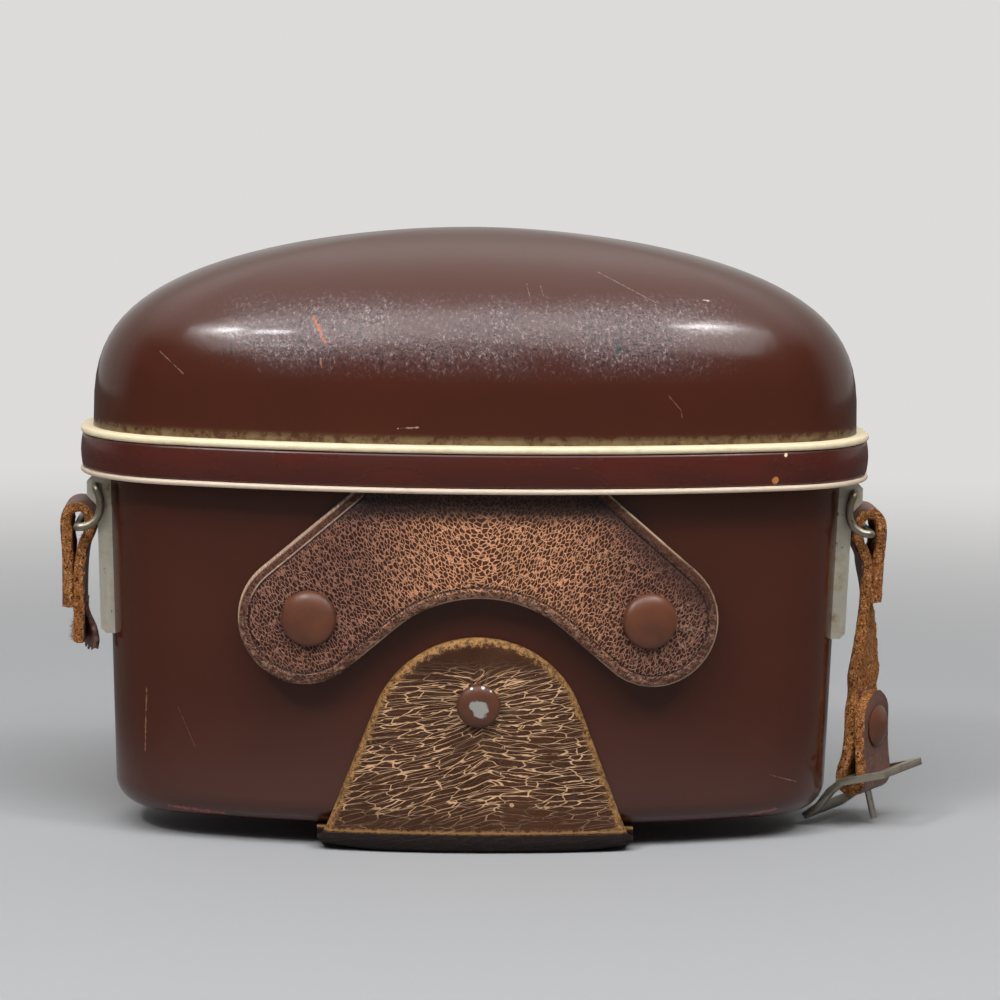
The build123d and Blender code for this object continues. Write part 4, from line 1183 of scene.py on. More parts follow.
def dome_rings(inset, apex, steps=30):
    """Rings from the dome's foot up to its apex."""
    s = shell_sizes()
    rings = []
    for i in range(steps):
        angle = pi / 2 * i / steps
        scale = cos(angle) ** (2 / s.dome_width_power)
        share = sin(angle) ** (2 / s.dome_height_power)
        rings.append(plan_ring(inset, dome_z() + share * (apex - dome_z()), scale))
    rings.append(plan_ring(inset, apex, APEX_SCALE))
    return rings


class CAMERACASE_OT_lid(bpy.types.Operator):
    """The lid's shell: a deep dome over a straight skirt"""

    bl_idname = "camera_case.lid"
    bl_label = "Lid"

    def execute(self, context):
        s = shell_sizes()
        apex = dome_z() + s.dome_height
        outer = [plan_ring(s.dome_step, band_z())] + dome_rings(s.dome_step, apex)
        inner = [plan_ring(skirt_inner(), band_z())] + dome_rings(skirt_inner(), apex - s.wall)
        bm = shell_rings(outer[::-1], inner[::-1])
        piece("lid", bm, "lid", [material("shell")], ["lid_shell"])
        return {"FINISHED"}


def swept_band(profile):
    """A closed profile of (inset, height) pairs carried round the plan."""
    bm = bmesh.new()
    rings = [plan_ring(inset, z) for inset, z in profile]
    grow_rings(bm, rings + [rings[0]])
    tidy(bm)
    return bm


def rounded_profile(outer, inner, low, high, radius, bulge=0.0, steps=4, levels=4):
    """A rectangle of inset and height whose two outer corners are round and whose face may bulge."""
    points = [(inner, high), (inner, low)]
    for i in range(steps + 1):
        angle = pi / 2 * i / steps
        points.append((outer + radius * (1 - sin(angle)), low + radius * (1 - cos(angle))))
    for i in range(1, levels):
        share = i / levels
        z = low + radius + (high - low - 2 * radius) * share
        points.append((outer - bulge * sin(pi * share), z))
    for i in range(steps + 1):
        angle = pi / 2 * (1 - i / steps)
        points.append((outer + radius * (1 - sin(angle)), high - radius * (1 - cos(angle))))
    return points


class CAMERACASE_OT_band(bpy.types.Operator):
    """The band round the lid's skirt, between two lines of cream piping"""

    bl_idname = "camera_case.band"
    bl_label = "Band and piping"

    def execute(self, context):
        inner = shell_sizes().dome_step - HAIR
        band = rounded_profile(BAND_INSET, inner, band_z(), upper_trim_z(), BAND_EDGE, bulge=BAND_INSET)
        piece("band", swept_band(band), "lid", [material("band")], ["lid_band"])
        upper = rounded_profile(0.0, inner, upper_trim_z(), dome_z(), UPPER_TRIM_EDGE)
        piece("upper_piping", swept_band(upper), "lid", [material("piping")], ["upper_trim"])
        lower = rounded_profile(0.0, inner, seam_z(), band_z(), LOWER_TRIM_EDGE)
        piece("lower_piping", swept_band(lower), "lid", [material("piping")], ["lower_trim"])
        return {"FINISHED"}


# Leather pieces


def rim_distance(x, z, outline):
    """How far a place is from a closed outline."""
    nearest = 1.0
    for (x0, z0), (x1, z1) in zip(outline, outline[1:] + outline[:1]):
        dx = x1 - x0
        dz = z1 - z0
        square = dx * dx + dz * dz
        share = 0.0 if square == 0 else max(0.0, min(1.0, ((x - x0) * dx + (z - z0) * dz) / square))
        nearest = min(nearest, hypot(x - x0 - dx * share, z - z0 - dz * share))
    return nearest


# A worn edge, from its outline inwards: widths and rises, as shares of its drop
WORN_EDGE = ((0.25, 0.45), (0.45, 0.33), (0.7, 0.22))
WORN_WIDTH = sum(width for width, rise in WORN_EDGE)
CREASE_HALF = 0.0003
CREASE_DEPTH = 0.00022


def leather_sheet(outline, thickness, edge_drop, crease, step, bounds, flow):
    """A flat leather piece in X and Z with a worn round edge, its face at Y = 0.

    A crease, where there is one, runs that far inside the outline. The sheet is cut into steps within
    its bounds. Each point keeps its distance from the outline, and its place in the grain from flow.
    """
    bm = bmesh.new()
    rim_layer = bm.verts.layers.float.new("rim")
    flow_layer = bm.verts.layers.float_vector.new("flow")
    verts = [bm.verts.new((x, 0, z)) for x, z in outline]
    face = bm.faces.new(verts)
    face.normal_update()
    if face.normal.y > 0:
        face.normal_flip()
    for vert in verts:
        vert.co.y = edge_drop

    def inset(width, rise):
        bmesh.ops.inset_region(
            bm, faces=[face], thickness=width, depth=0.0, use_even_offset=True, use_boundary=True
        )
        for vert in face.verts:
            vert.co.y -= rise

    for width, rise in WORN_EDGE:
        inset(edge_drop * width, edge_drop * rise)
    if crease:
        inset(crease - edge_drop * WORN_WIDTH, 0.0)
        inset(CREASE_HALF, -CREASE_DEPTH)
        inset(CREASE_HALF, CREASE_DEPTH)
    (x0, x1), (z0, z1) = bounds
    for low, high, normal in ((x0, x1, Vector((1, 0, 0))), (z0, z1, UP)):
        count = int((high - low) / step)
        for i in range(1, count):
            plane = normal * (low + (high - low) * i / count)
            everything = bm.verts[:] + bm.edges[:] + bm.faces[:]
            bmesh.ops.bisect_plane(bm, geom=everything, dist=1e-6, plane_co=plane, plane_no=normal)
    front = bm.verts[:] + bm.edges[:] + bm.faces[:]
    copied = bmesh.ops.duplicate(bm, geom=front)["geom"]
    back_faces = [item for item in copied if isinstance(item, bmesh.types.BMFace)]
    back_verts = [item for item in copied if isinstance(item, bmesh.types.BMVert)]
    bmesh.ops.reverse_faces(bm, faces=back_faces)
    for vert in back_verts:
        vert.co.y = thickness
    rim = [edge for edge in bm.edges if edge.is_boundary]
    bmesh.ops.bridge_loops(bm, edges=rim)
    for vert in bm.verts:
        vert[rim_layer] = rim_distance(vert.co.x, vert.co.z, outline)
        vert[flow_layer] = flow(vert.co.x, vert.co.z)
    return bm


def arc_points(centre, radius, start, end, steps):
    x, z = centre
    angles = [start + (end - start) * i / steps for i in range(steps + 1)]
    return [(x + radius * cos(angle), z + radius * sin(angle)) for angle in angles]


def flap_outline(top_z):
    """The flap's outline in X and Z: neck, lobes and the arch between them."""
    leather = leather_sizes()
    lobe = (leather.lobe_x, seam_z() - leather.lobe_drop)
    arch = (0.0, seam_z() - leather.arch_drop)
    rise = lobe[1] - arch[1]
    apart = hypot(lobe[0], rise)
    cross = (leather.lobe_radius + leather.arch_radius) / apart
    turn = atan2(rise, lobe[0]) + atan2(sqrt(1 - cross**2), cross)
    neck = (leather.flap_neck, seam_z())
    to_neck = hypot(neck[0] - lobe[0], neck[1] - lobe[1])
    neck_turn = atan2(neck[1] - lobe[1], neck[0] - lobe[0])
    outer = neck_turn - atan2(sqrt(to_neck**2 - leather.lobe_radius**2), leather.lobe_radius)
    right = [(neck[0], top_z), neck]
    right += arc_points(lobe, leather.lobe_radius, outer, turn - pi, 34)
    right += arc_points(arch, leather.arch_radius, turn, pi / 2, 22)
    left = [(-x, z) for x, z in right[:-1]]
    return right + left[::-1]


# How far under the lobes the flap's lean would reach its full size
LEAN_UNDER = 0.002


def lobes_z():
    """Height of the lobes' lowest points."""
    return seam_z() - leather_sizes().lobe_drop - leather_sizes().lobe_radius


def flap_inset(z):
    """How far the flap's inner face lies inside the band's outline at height z."""
    share = max(0.0, (hinge_z() - z) / (hinge_z() - lobes_z() + LEAN_UNDER))
    return skirt_inner() - HAIR - leather_sizes().flap_lean * share


# Slopes of the grain, and how much it is drawn out along them
FLAP_SLOPE = radians(48)
FLAP_DRAWN = 0.46
TAB_SLOPE = radians(9)
TAB_DRAWN = 0.25
REAR_DRAWN = 0.5
# How far the flap's grain stays level in the middle, and how the tab's draws together at its rivet
FLAP_LEVEL = 0.003
TAB_PULL = 0.005
TAB_PULL_CORE = 0.002


def flap_flow(x, z):
    """Pits stretched up and outwards, away from the middle."""
    out = hypot(x, FLAP_LEVEL)
    along = out * cos(FLAP_SLOPE) + z * sin(FLAP_SLOPE)
    return Vector((along * FLAP_DRAWN, x * 0.5, z * cos(FLAP_SLOPE) - out * sin(FLAP_SLOPE)))


def tab_flow(x, z):
    """Cracks across the tab that rise to the right and draw together at the rivet."""
    over = z - metal_sizes().tab_rivet_z
    along = x * cos(TAB_SLOPE) + over * sin(TAB_SLOPE)
    up = over * cos(TAB_SLOPE) - x * sin(TAB_SLOPE)
    pull = TAB_PULL * atan2(up, abs(along) + TAB_PULL_CORE)
    return Vector((along * TAB_DRAWN, 0.0, up + pull))


def rear_flow(x, z):
    """Cracks across the rear strap."""
    return Vector((x * REAR_DRAWN, 0.0, z))


# Waves in the flap and the tab: how many in a metre, and how high
FLAP_WAVES = 60
FLAP_WAVE = 0.00018
TAB_WAVES = 50
TAB_WAVE = 0.0002
# The lift of the tab's front corners off the floor: its size, its width from Y and its height
CORNER_LIFT = 0.0017
LIFT_START_Y = -0.024
LIFT_DEPTH = 0.008
LIFT_HEIGHT = 0.006


class CAMERACASE_OT_flap(bpy.types.Operator):
    """The front flap, one leather piece from inside the lid's skirt down over the snaps"""

    bl_idname = "camera_case.flap"
    bl_label = "Front flap"

    def execute(self, context):
        leather = leather_sizes()
        top_z = upper_trim_z() - HIDDEN_END
        reach = leather.lobe_x + leather.lobe_radius
        bm = leather_sheet(
            flap_outline(top_z), leather.flap, edge_drop=0.0009, crease=0.0021, step=0.002,
            bounds=((-reach, reach), (lobes_z(), top_z)), flow=flap_flow,
        )
        for vert in bm.verts:
            x, depth, z = vert.co
            wave = noise.noise(Vector((x, 0.0, z)) * FLAP_WAVES) * FLAP_WAVE
            inset = flap_inset(z) - leather.flap + depth + (wave if z < hinge_z() else 0.0)
            vert.co = (x, front_y(x, inset), z)
        tidy(bm)
        replaced = ["front_flap", "flap_root"]
        obj = piece("front_flap_leather", bm, None, [material("flap")], replaced)
        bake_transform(obj)
        return {"FINISHED"}


def tab_outline(low_s):
    """The fan in X and path length: round top, straight sides, then the strip under the base."""
    leather = leather_sizes()
    centre_z = leather.tab_top - leather.tab_arc
    reach = hypot(leather.strip_half, centre_z)
    to_tangent = sqrt(reach**2 - leather.tab_arc**2)
    turn = atan2(-centre_z, leather.strip_half) + atan2(to_tangent, leather.tab_arc)
    right = [(leather.strip_half, low_s), (leather.strip_half, 0.0)]
    right += arc_points((0.0, centre_z), leather.tab_arc, turn, pi / 2, 30)
    left = [(-x, z) for x, z in right[:-1]]
    return right + left[::-1]


def folded_place(x, s, depth, thickness, low_z):
    """A point on leather that runs down the tub's wall, round the fold and under the base."""
    radius = leather_sizes().fold_radius
    turn_z = low_z + radius
    outer_inset = tub_inset(low_z) - thickness
    if s >= turn_z:
        return Vector((x, front_y(x, tub_inset(s) - thickness + depth), s))
    past = turn_z - s
    quarter = radius * pi / 2
    wall_y = front_y(x, outer_inset)
    if past < quarter:
        angle = past / radius
        arm = radius - depth
        return Vector((x, wall_y + radius - arm * cos(angle), turn_z - arm * sin(angle)))
    return Vector((x, wall_y + radius + past - quarter, low_z + depth))


class CAMERACASE_OT_tab(bpy.types.Operator):
    """The fan-shaped tab, folded under the tub as the outer base layer"""

    bl_idname = "camera_case.tab"
    bl_label = "Front tab"

    def execute(self, context):
        leather = leather_sizes()
        radius = leather.fold_radius
        start_y = front_y(0.0, tub_inset(0.0) - leather.tab)
        low_s = radius - (radius * pi / 2 + leather.tab_back - start_y - radius)
        bm = leather_sheet(
            tab_outline(low_s), leather.tab, edge_drop=0.0011, crease=0.0, step=0.002,
            bounds=((-leather.strip_half, leather.strip_half), (low_s, leather.tab_top)), flow=tab_flow,
        )
        for vert in bm.verts:
            x, depth, s = vert.co
            wave = noise.noise(Vector((x * TAB_WAVES, 3.0, s * TAB_WAVES))) * TAB_WAVE
            vert.co = folded_place(x, s, depth + wave, leather.tab, 0.0)
        for vert in bm.verts:
            x, y, z = vert.co
            front = max(0.0, min(1.0, (LIFT_START_Y - y) / LIFT_DEPTH)) * max(0.0, 1.0 - z / LIFT_HEIGHT)
            lift = CORNER_LIFT * (x / leather.strip_half) ** 4 * front
            vert.co = (x, min(y, leather.tab_back), z + lift)
        tidy(bm)
        piece("front_tab_leather", bm, "tub", [material("tab")], ["front_tab"])
        return {"FINISHED"}


# How soon the rear strap leaves the tub's wall for the skirt, and how thin it is there
HINGE_BLEND = 0.002
HINGE_THINNING = 0.9


class CAMERACASE_OT_rear_strap(bpy.types.Operator):
    """The rear strap, from the inner base layer up the back and into the lid as its hinge"""

    bl_idname = "camera_case.rear_strap"
    bl_label = "Rear strap"

    def execute(self, context):
        leather = leather_sizes()
        low_z = leather.tab
        radius = leather.fold_radius
        start_y = front_y(0.0, tub_inset(low_z) - leather.rear)
        low_s = low_z + radius - (radius * pi / 2 - leather.rear_front - start_y - radius)
        top_z = upper_trim_z() - HIDDEN_END
        right = [
            (leather.strip_half, low_s), (leather.strip_half, low_z), (leather.hinge_half, hinge_z()),
            (leather.hinge_half, top_z),
        ]
        bm = leather_sheet(
            right + [(-x, z) for x, z in reversed(right)], leather.rear, edge_drop=0.0009, crease=0.0022,
            step=0.0025, bounds=((-leather.strip_half, leather.strip_half), (low_s, top_z)), flow=rear_flow,
        )
        skirt_face = shell_sizes().dome_step + 2 * HAIR
        for vert in bm.verts:
            x, depth, s = vert.co
            if s > hinge_z():
                share = min(1.0, (s - hinge_z()) / HINGE_BLEND)
                inset = (tub_inset(s) - leather.rear) * (1 - share) + skirt_face * share
                vert.co = (x, front_y(x, inset + depth * HINGE_THINNING), s)
            else:
                vert.co = folded_place(x, s, depth, leather.rear, low_z)
        bmesh.ops.rotate(bm, verts=bm.verts, cent=(0, 0, 0), matrix=Matrix.Rotation(pi, 3, "Z"))
        tidy(bm)
        replaced = ["rear_strap", "hinge_root"]
        obj = piece("rear_strap_leather", bm, None, [material("tab")], replaced)
        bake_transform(obj)
        return {"FINISHED"}


# Wires, straps and their fibres


def rounded_path(points, radius, steps=6):
    """A path whose corners are rounded off where the wire is bent."""
    made = [points[0]]
    for before, corner, after in zip(points, points[1:], points[2:]):
        near = min(radius, (before - corner).length * 0.45, (after - corner).length * 0.45)
        start = corner + (before - corner).normalized() * near
        end = corner + (after - corner).normalized() * near
        for i in range(steps + 1):
            t = i / steps
            made.append(start * (1 - t) ** 2 + corner * 2 * t * (1 - t) + end * t**2)
    made.append(points[-1])
    return made


def add_wire(bm, points, radius, bend, around=20, steps=6, taper=0.0):
    """A round wire along a path, with its bends rounded, thinner towards its end where it tapers."""
    path = rounded_path(points, bend, steps)
    rings = []
    side = Vector((0.1, 0.2, 1.0))
    for i, place in enumerate(path):
        along = (path[min(len(path) - 1, i + 1)] - path[max(0, i - 1)]).normalized()
        side = (side - along * side.dot(along)).normalized()
        other = along.cross(side)
        turns = [2 * pi * j / around for j in range(around)]
        reach = radius * (1 - taper * i / len(path))
        rings.append([place + (side * cos(t) + other * sin(t)) * reach for t in turns])
    grow_rings(bm, rings, close_start=True, close_end=True)


def wire_mesh(points, radius, bend):
    """One wire as a mesh of its own."""
    bm = bmesh.new()
    add_wire(bm, points, radius, bend)
    tidy(bm)
    return bm


FIBRE_RADIUS = 0.00005
# Reaches of the fibres, from least to most
TORN_REACH = (0.0006, 0.0016)
WORN_REACH = (0.0003, 0.0008)
FIBRE_HALF = 0.6


def fibres(name, strap, body, count, torn_z, seed):
    """Short bent fibres that stand on the flesh side of a strap, longer where it is torn."""
    chance = Random(seed)
    flesh = [face for face in strap.data.polygons if face.material_index == 0]
    flesh.sort(key=lambda face: tuple(face.center))
    torn = [face for face in flesh if face.center.z < torn_z]
    bm = bmesh.new()
    for i in range(count):
        on_tear = bool(torn) and i % 3 == 0
        face = chance.choice(torn if on_tear else flesh)
        reach = chance.uniform(*(TORN_REACH if on_tear else WORN_REACH))
        sway = Vector((chance.uniform(-1, 1), chance.uniform(-1, 1), chance.uniform(-1, 1)))
        root = face.center - face.normal * FIBRE_RADIUS
        knee = root + (face.normal + sway * 0.5).normalized() * reach * FIBRE_HALF
        tip = knee + (face.normal * 0.3 + sway.cross(face.normal)).normalized() * reach * FIBRE_HALF
        add_wire(bm, [root, knee, tip], FIBRE_RADIUS, reach, around=3, steps=3, taper=0.7)
    bmesh.ops.recalc_face_normals(bm, faces=bm.faces)
    piece(name, bm, body, [material("suede")])


def smooth_line(stations, rounds=3):
    """Cut the corners of a line of stations, some rounds over, keeping its two ends."""
    if rounds == 0:
        return stations
    cut = [stations[0]]
    for first, second in zip(stations, stations[1:]):
        cut.append([a * 0.75 + b * 0.25 for a, b in zip(first, second)])
        cut.append([a * 0.25 + b * 0.75 for a, b in zip(first, second)])
    return smooth_line(cut + [stations[-1]], rounds - 1)


def even_line(stations, step):
    """Stations at even steps along a line."""
    lengths = [0.0]
    for first, second in zip(stations, stations[1:]):
        lengths.append(lengths[-1] + sqrt(sum((a - b) ** 2 for a, b in zip(first[:3], second[:3]))))
    count = max(2, round(lengths[-1] / step))
    made = []
    at = 0
    for i in range(count + 1):
        goal = lengths[-1] * i / count
        while at < len(lengths) - 2 and lengths[at + 1] < goal:
            at += 1
        share = (goal - lengths[at]) / max(1e-9, lengths[at + 1] - lengths[at])
        share = min(1.0, max(0.0, share))
        made.append([a + (b - a) * share for a, b in zip(stations[at], stations[at + 1])])
    return made


# Steps across a strap and down its edges, how round its corners are, and its least width at an end
ACROSS = 14
EDGE_LEVELS = 3
STRAP_CORNER = 0.0004
END_WIDTH = 0.3
# Fineness of the fuzz and of a ragged end, which is three stations long
FUZZ_SCALE = 900
RAG_SCALE = 700
RAG_STATIONS = 3


def strap_section(width, thickness):
    """The strap's cut outline as places across it and out from its middle, grain side first."""
    half_w = width / 2
    half_t = thickness / 2
    flat = width - 2 * STRAP_CORNER
    steep = thickness - 2 * STRAP_CORNER
    over = [flat * j / ACROSS for j in range(ACROSS + 1)]
    down = [steep * j / EDGE_LEVELS for j in range(EDGE_LEVELS + 1)]
    section = [(half_w - STRAP_CORNER - share, half_t) for share in over]
    section += [(-half_w, half_t - STRAP_CORNER - share) for share in down]
    section += [(-half_w + STRAP_CORNER + share, -half_t) for share in over]
    return section + [(half_w, -half_t + STRAP_CORNER + share) for share in down]


def strap_frame(stations, i):
    """The strap's way along, its way across and its way out on the grain side at a station."""
    before = Vector(stations[max(0, i - 1)][:3])
    after = Vector(stations[min(len(stations) - 1, i + 1)][:3])
    along = (after - before).normalized()
    wide = Vector((-sin(stations[i][3]), cos(stations[i][3]), 0))
    return along, wide, wide.cross(along).normalized()


def strap_mesh(stations, thickness, full_width, fuzz, ragged=0.0, round_end=0.0):
    """A leather strip along stations of x, y, z and turn. Its left side along the way is the grain.

    Its start may be ragged and its end rounded over a length.
    """
    bm = bmesh.new()
    rings = []
    end = Vector(stations[-1][:3])
    for i, station in enumerate(stations):
        centre = Vector(station[:3])
        to_end = (end - centre).length
        width = full_width
        if to_end < round_end:
            width *= max(END_WIDTH, sqrt(1 - (1 - to_end / round_end) ** 2))
        along, wide, out = strap_frame(stations, i)
        ring = []
        for v, n in strap_section(width, thickness):
            point = centre + wide * v + out * n
            rough = fuzz if n < thickness / 2 * 0.95 else fuzz * 0.15
            shake = Vector((
                noise.noise(point * FUZZ_SCALE),
                noise.noise(point * FUZZ_SCALE + Vector((7, 0, 0))),
                noise.noise(point * FUZZ_SCALE + Vector((0, 9, 0))),
            ))
            if ragged and i < RAG_STATIONS:
                shake += along * noise.noise(Vector((v * RAG_SCALE, n * RAG_SCALE, 0))) * (ragged / fuzz)
            ring.append(point + shake * rough)
        rings.append(ring)
    grow_rings(bm, rings, close_start=True, close_end=True)
    tidy(bm)
    return bm


def paint_grain(obj, stations):
    """Give the faces on the strip's left side the grain material."""
    centres = [Vector(station[:3]) for station in stations]
    for polygon in obj.data.polygons:
        i = min(range(0, len(centres), 2), key=lambda k: (centres[k] - polygon.center).length_squared)
        out = strap_frame(stations, i)[2]
        polygon.material_index = 1 if out.dot(polygon.normal) > GRAIN_FACING else 0


def bail_bar():
    """The middle of the right bail's bar. The left one is its mirror image."""
    low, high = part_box("right_bail")
    wire = metal_sizes().wire_radius
    return Vector((high.x - wire, 0, low.z + wire))


# How squarely a face must look out to be grain
GRAIN_FACING = 0.7
# Steps between stations along a strap and along the torn layer
STATION_STEP = 0.0007
TORN_STEP = 0.0005
# The loop over the bail: its rise over the bar, where its layers meet, its lean and its slack
LOOP_RISE = 0.0056
LOOP_MERGE = 0.0064
LOOP_LEAN = 0.001
LOOP_SLACK = 0.0006
LOOP_FOOT = 0.0016
LOOP_SHOULDER = 0.0022
# The stub's lengths under the bar, outside and inside
STUB_OUTER_LENGTH = 0.0186
STUB_LENGTH = 0.0265
# The stub's torn layer: places out from its inner layer and up from its end, and turn
TORN_LAYER = (
    (-0.0002, 0.009, 0.0),
    (0.0, 0.006, 0.15),
    (0.0008, 0.003, 0.32),
    (0.0012, 0.0, 0.36),
    (0.001, -0.002, 0.3),
)
TORN_THICKNESS = 0.0013
TORN_WIDTH = 0.0095
TORN_HEIGHT = 0.004
# The turning part of the right strap: its start under the bail's bar, turn, bow and outer layer's end
TWIST_DROP = 0.0082
STRAP_TURN = radians(-32)
STRAP_BOW = 0.0007
OUTER_TAIL = 0.016
# The buckle's bar, out from the bail's bar and up from the floor, and the fold round it
BUCKLE_BAR_OUT = 0.0009
BUCKLE_BAR_Z = 0.0113
BAR_RADIUS = 0.0009
FOLD_SLACK = 0.00045
FOLD_MID = 0.0005
# Heights over the buckle's bar
FOLD_MEET_RISE = 0.0065
STRAP_RIVET_RISE = 0.0117
TAIL_RISE = 0.0197
TWIST_END_RISE = 0.0217


def loop_stations(bar, outer_end, inner_end):
    """Middle line of the strap's loop over a bail's bar, from its outer end to its inner end."""
    layer = leather_sizes().strap / 2
    half = metal_sizes().wire_radius + LOOP_SLACK + layer
    top = bar.z + LOOP_RISE - layer
    mid = bar.x + LOOP_LEAN
    points = [
        (mid + layer, outer_end),
        (mid + layer, bar.z - LOOP_MERGE),
        (bar.x + half, bar.z - LOOP_FOOT),
        (bar.x + half, top - LOOP_SHOULDER),
        (bar.x + half / 2, top),
        (bar.x - half / 2, top),
        (bar.x - half, top - LOOP_SHOULDER),
        (bar.x - half, bar.z - LOOP_FOOT),
        (mid - layer, bar.z - LOOP_MERGE),
        (mid - layer, inner_end),
    ]
    return [[x, 0.0, z, 0.0] for x, z in points]


def strap_piece(name, body, stations, fuzz, **ends):
    """A strap with its flesh side and its grain side."""
    leather = leather_sizes()
    bm = strap_mesh(stations, leather.strap, leather.strap_width, fuzz, **ends)
    obj = piece(name, bm, body, [material("suede"), material("grain")], [body])
    paint_grain(obj, stations)
    return obj


class CAMERACASE_OT_left_strap(bpy.types.Operator):
    """The torn stub of strap that hangs from the left bail"""

    bl_idname = "camera_case.left_strap"
    bl_label = "Left strap stub"

    def execute(self, context):
        bar = bail_bar()
        end_z = bar.z - STUB_LENGTH
        stations = loop_stations(bar, bar.z - STUB_OUTER_LENGTH, end_z)
        stations = [[-x, y, z, turn] for x, y, z, turn in stations][::-1]
        stations = even_line(smooth_line(stations), STATION_STEP)
        obj = strap_piece("left_strap_stub", "left_strap", stations, 0.0003, ragged=0.001)
        fibres("left_strap_fibres", obj, "left_strap", count=420, torn_z=end_z + TORN_HEIGHT, seed=5)

        inner = -(bar.x + LOOP_LEAN - leather_sizes().strap)
        torn = [[inner + out, 0.0, end_z + up, turn] for out, up, turn in TORN_LAYER]
        stations = even_line(smooth_line(torn), TORN_STEP)
        bm = strap_mesh(stations[::-1], TORN_THICKNESS, TORN_WIDTH, 0.0004, ragged=0.0016)
        piece("left_strap_torn_layer", bm, "left_strap", [material("grain")])
        return {"FINISHED"}


def twist_station(share, layer, bar):
    """A place on one layer of the turning part of the right strap."""
    start_z = bar.z - TWIST_DROP
    end_z = BUCKLE_BAR_Z + TWIST_END_RISE
    turn = STRAP_TURN * share
    low_x = bar.x + BUCKLE_BAR_OUT + FOLD_MID * cos(STRAP_TURN)
    low_y = FOLD_MID * sin(STRAP_TURN)
    mid = bar.x + LOOP_LEAN
    x = mid + (low_x - mid) * share + STRAP_BOW * sin(pi * share)
    y = low_y * share
    return [x + layer * cos(turn), y + layer * sin(turn), start_z + (end_z - start_z) * share, turn]


class CAMERACASE_OT_right_strap(bpy.types.Operator):
    """The right strap: its loop, a turning length, and the riveted fold that holds the buckle"""

    bl_idname = "camera_case.right_strap"
    bl_label = "Right strap"

    def execute(self, context):
        bar = bail_bar()
        layer = leather_sizes().strap / 2
        start_z = bar.z - TWIST_DROP
        end_z = BUCKLE_BAR_Z + TWIST_END_RISE
        tail_share = (OUTER_TAIL - TWIST_DROP) / (start_z - end_z)
        tail = [twist_station(tail_share * i / 3, layer, bar) for i in (3, 2, 1)]
        twist = [twist_station(i / 6, -layer, bar) for i in range(1, 7)]
        reach = BAR_RADIUS + FOLD_SLACK + layer
        fold = [
            (FOLD_MID - layer, FOLD_MEET_RISE),
            (-reach, reach / 2),
            (-reach, -reach / 2),
            (-reach / 2, -reach),
            (reach / 2, -reach),
            (reach, -reach / 2),
            (reach, reach / 2),
            (FOLD_MID + layer, FOLD_MEET_RISE),
            (FOLD_MID + layer, TAIL_RISE),
        ]
        low_x = bar.x + BUCKLE_BAR_OUT
        folded = [
            [low_x + out * cos(STRAP_TURN), out * sin(STRAP_TURN), BUCKLE_BAR_Z + up, STRAP_TURN]
            for out, up in fold
        ]
        stations = tail + loop_stations(bar, start_z, start_z) + twist + folded
        stations = even_line(smooth_line(stations), STATION_STEP)
        obj = strap_piece("right_strap_leather", "right_strap", stations, 0.00035, round_end=0.0055)
        fibres("right_strap_fibres", obj, "right_strap", count=620, torn_z=0.0, seed=11)
        return {"FINISHED"}


# Metal pieces


# Posts under the caps: the snap's radius, the rivets' radius, and the rivets' reach into the wall
SNAP_POST_RADIUS = 0.0018
RIVET_POST_RADIUS = 0.0015
RIVET_INTO_WALL = 0.0032
# The washer behind the strap's rivet: its flat's radius, its own radius, its break and its thickness
WASHER_FLAT = 0.0034
WASHER_RADIUS = 0.00375
WASHER_BREAK = 0.0003
WASHER_FACE = 0.0006
WASHER = 0.0008


def lifted(height):
    return Matrix.Translation((0, 0, height))


def caps_piece(name, body, node, profile, places):
    """Domed caps as one piece, one at each place."""
    bm = bmesh.new()
    for place in places:
        spun(bm, profile, place)
    tidy(bm)
    piece(name, bm, body, [material("cap")], [node])


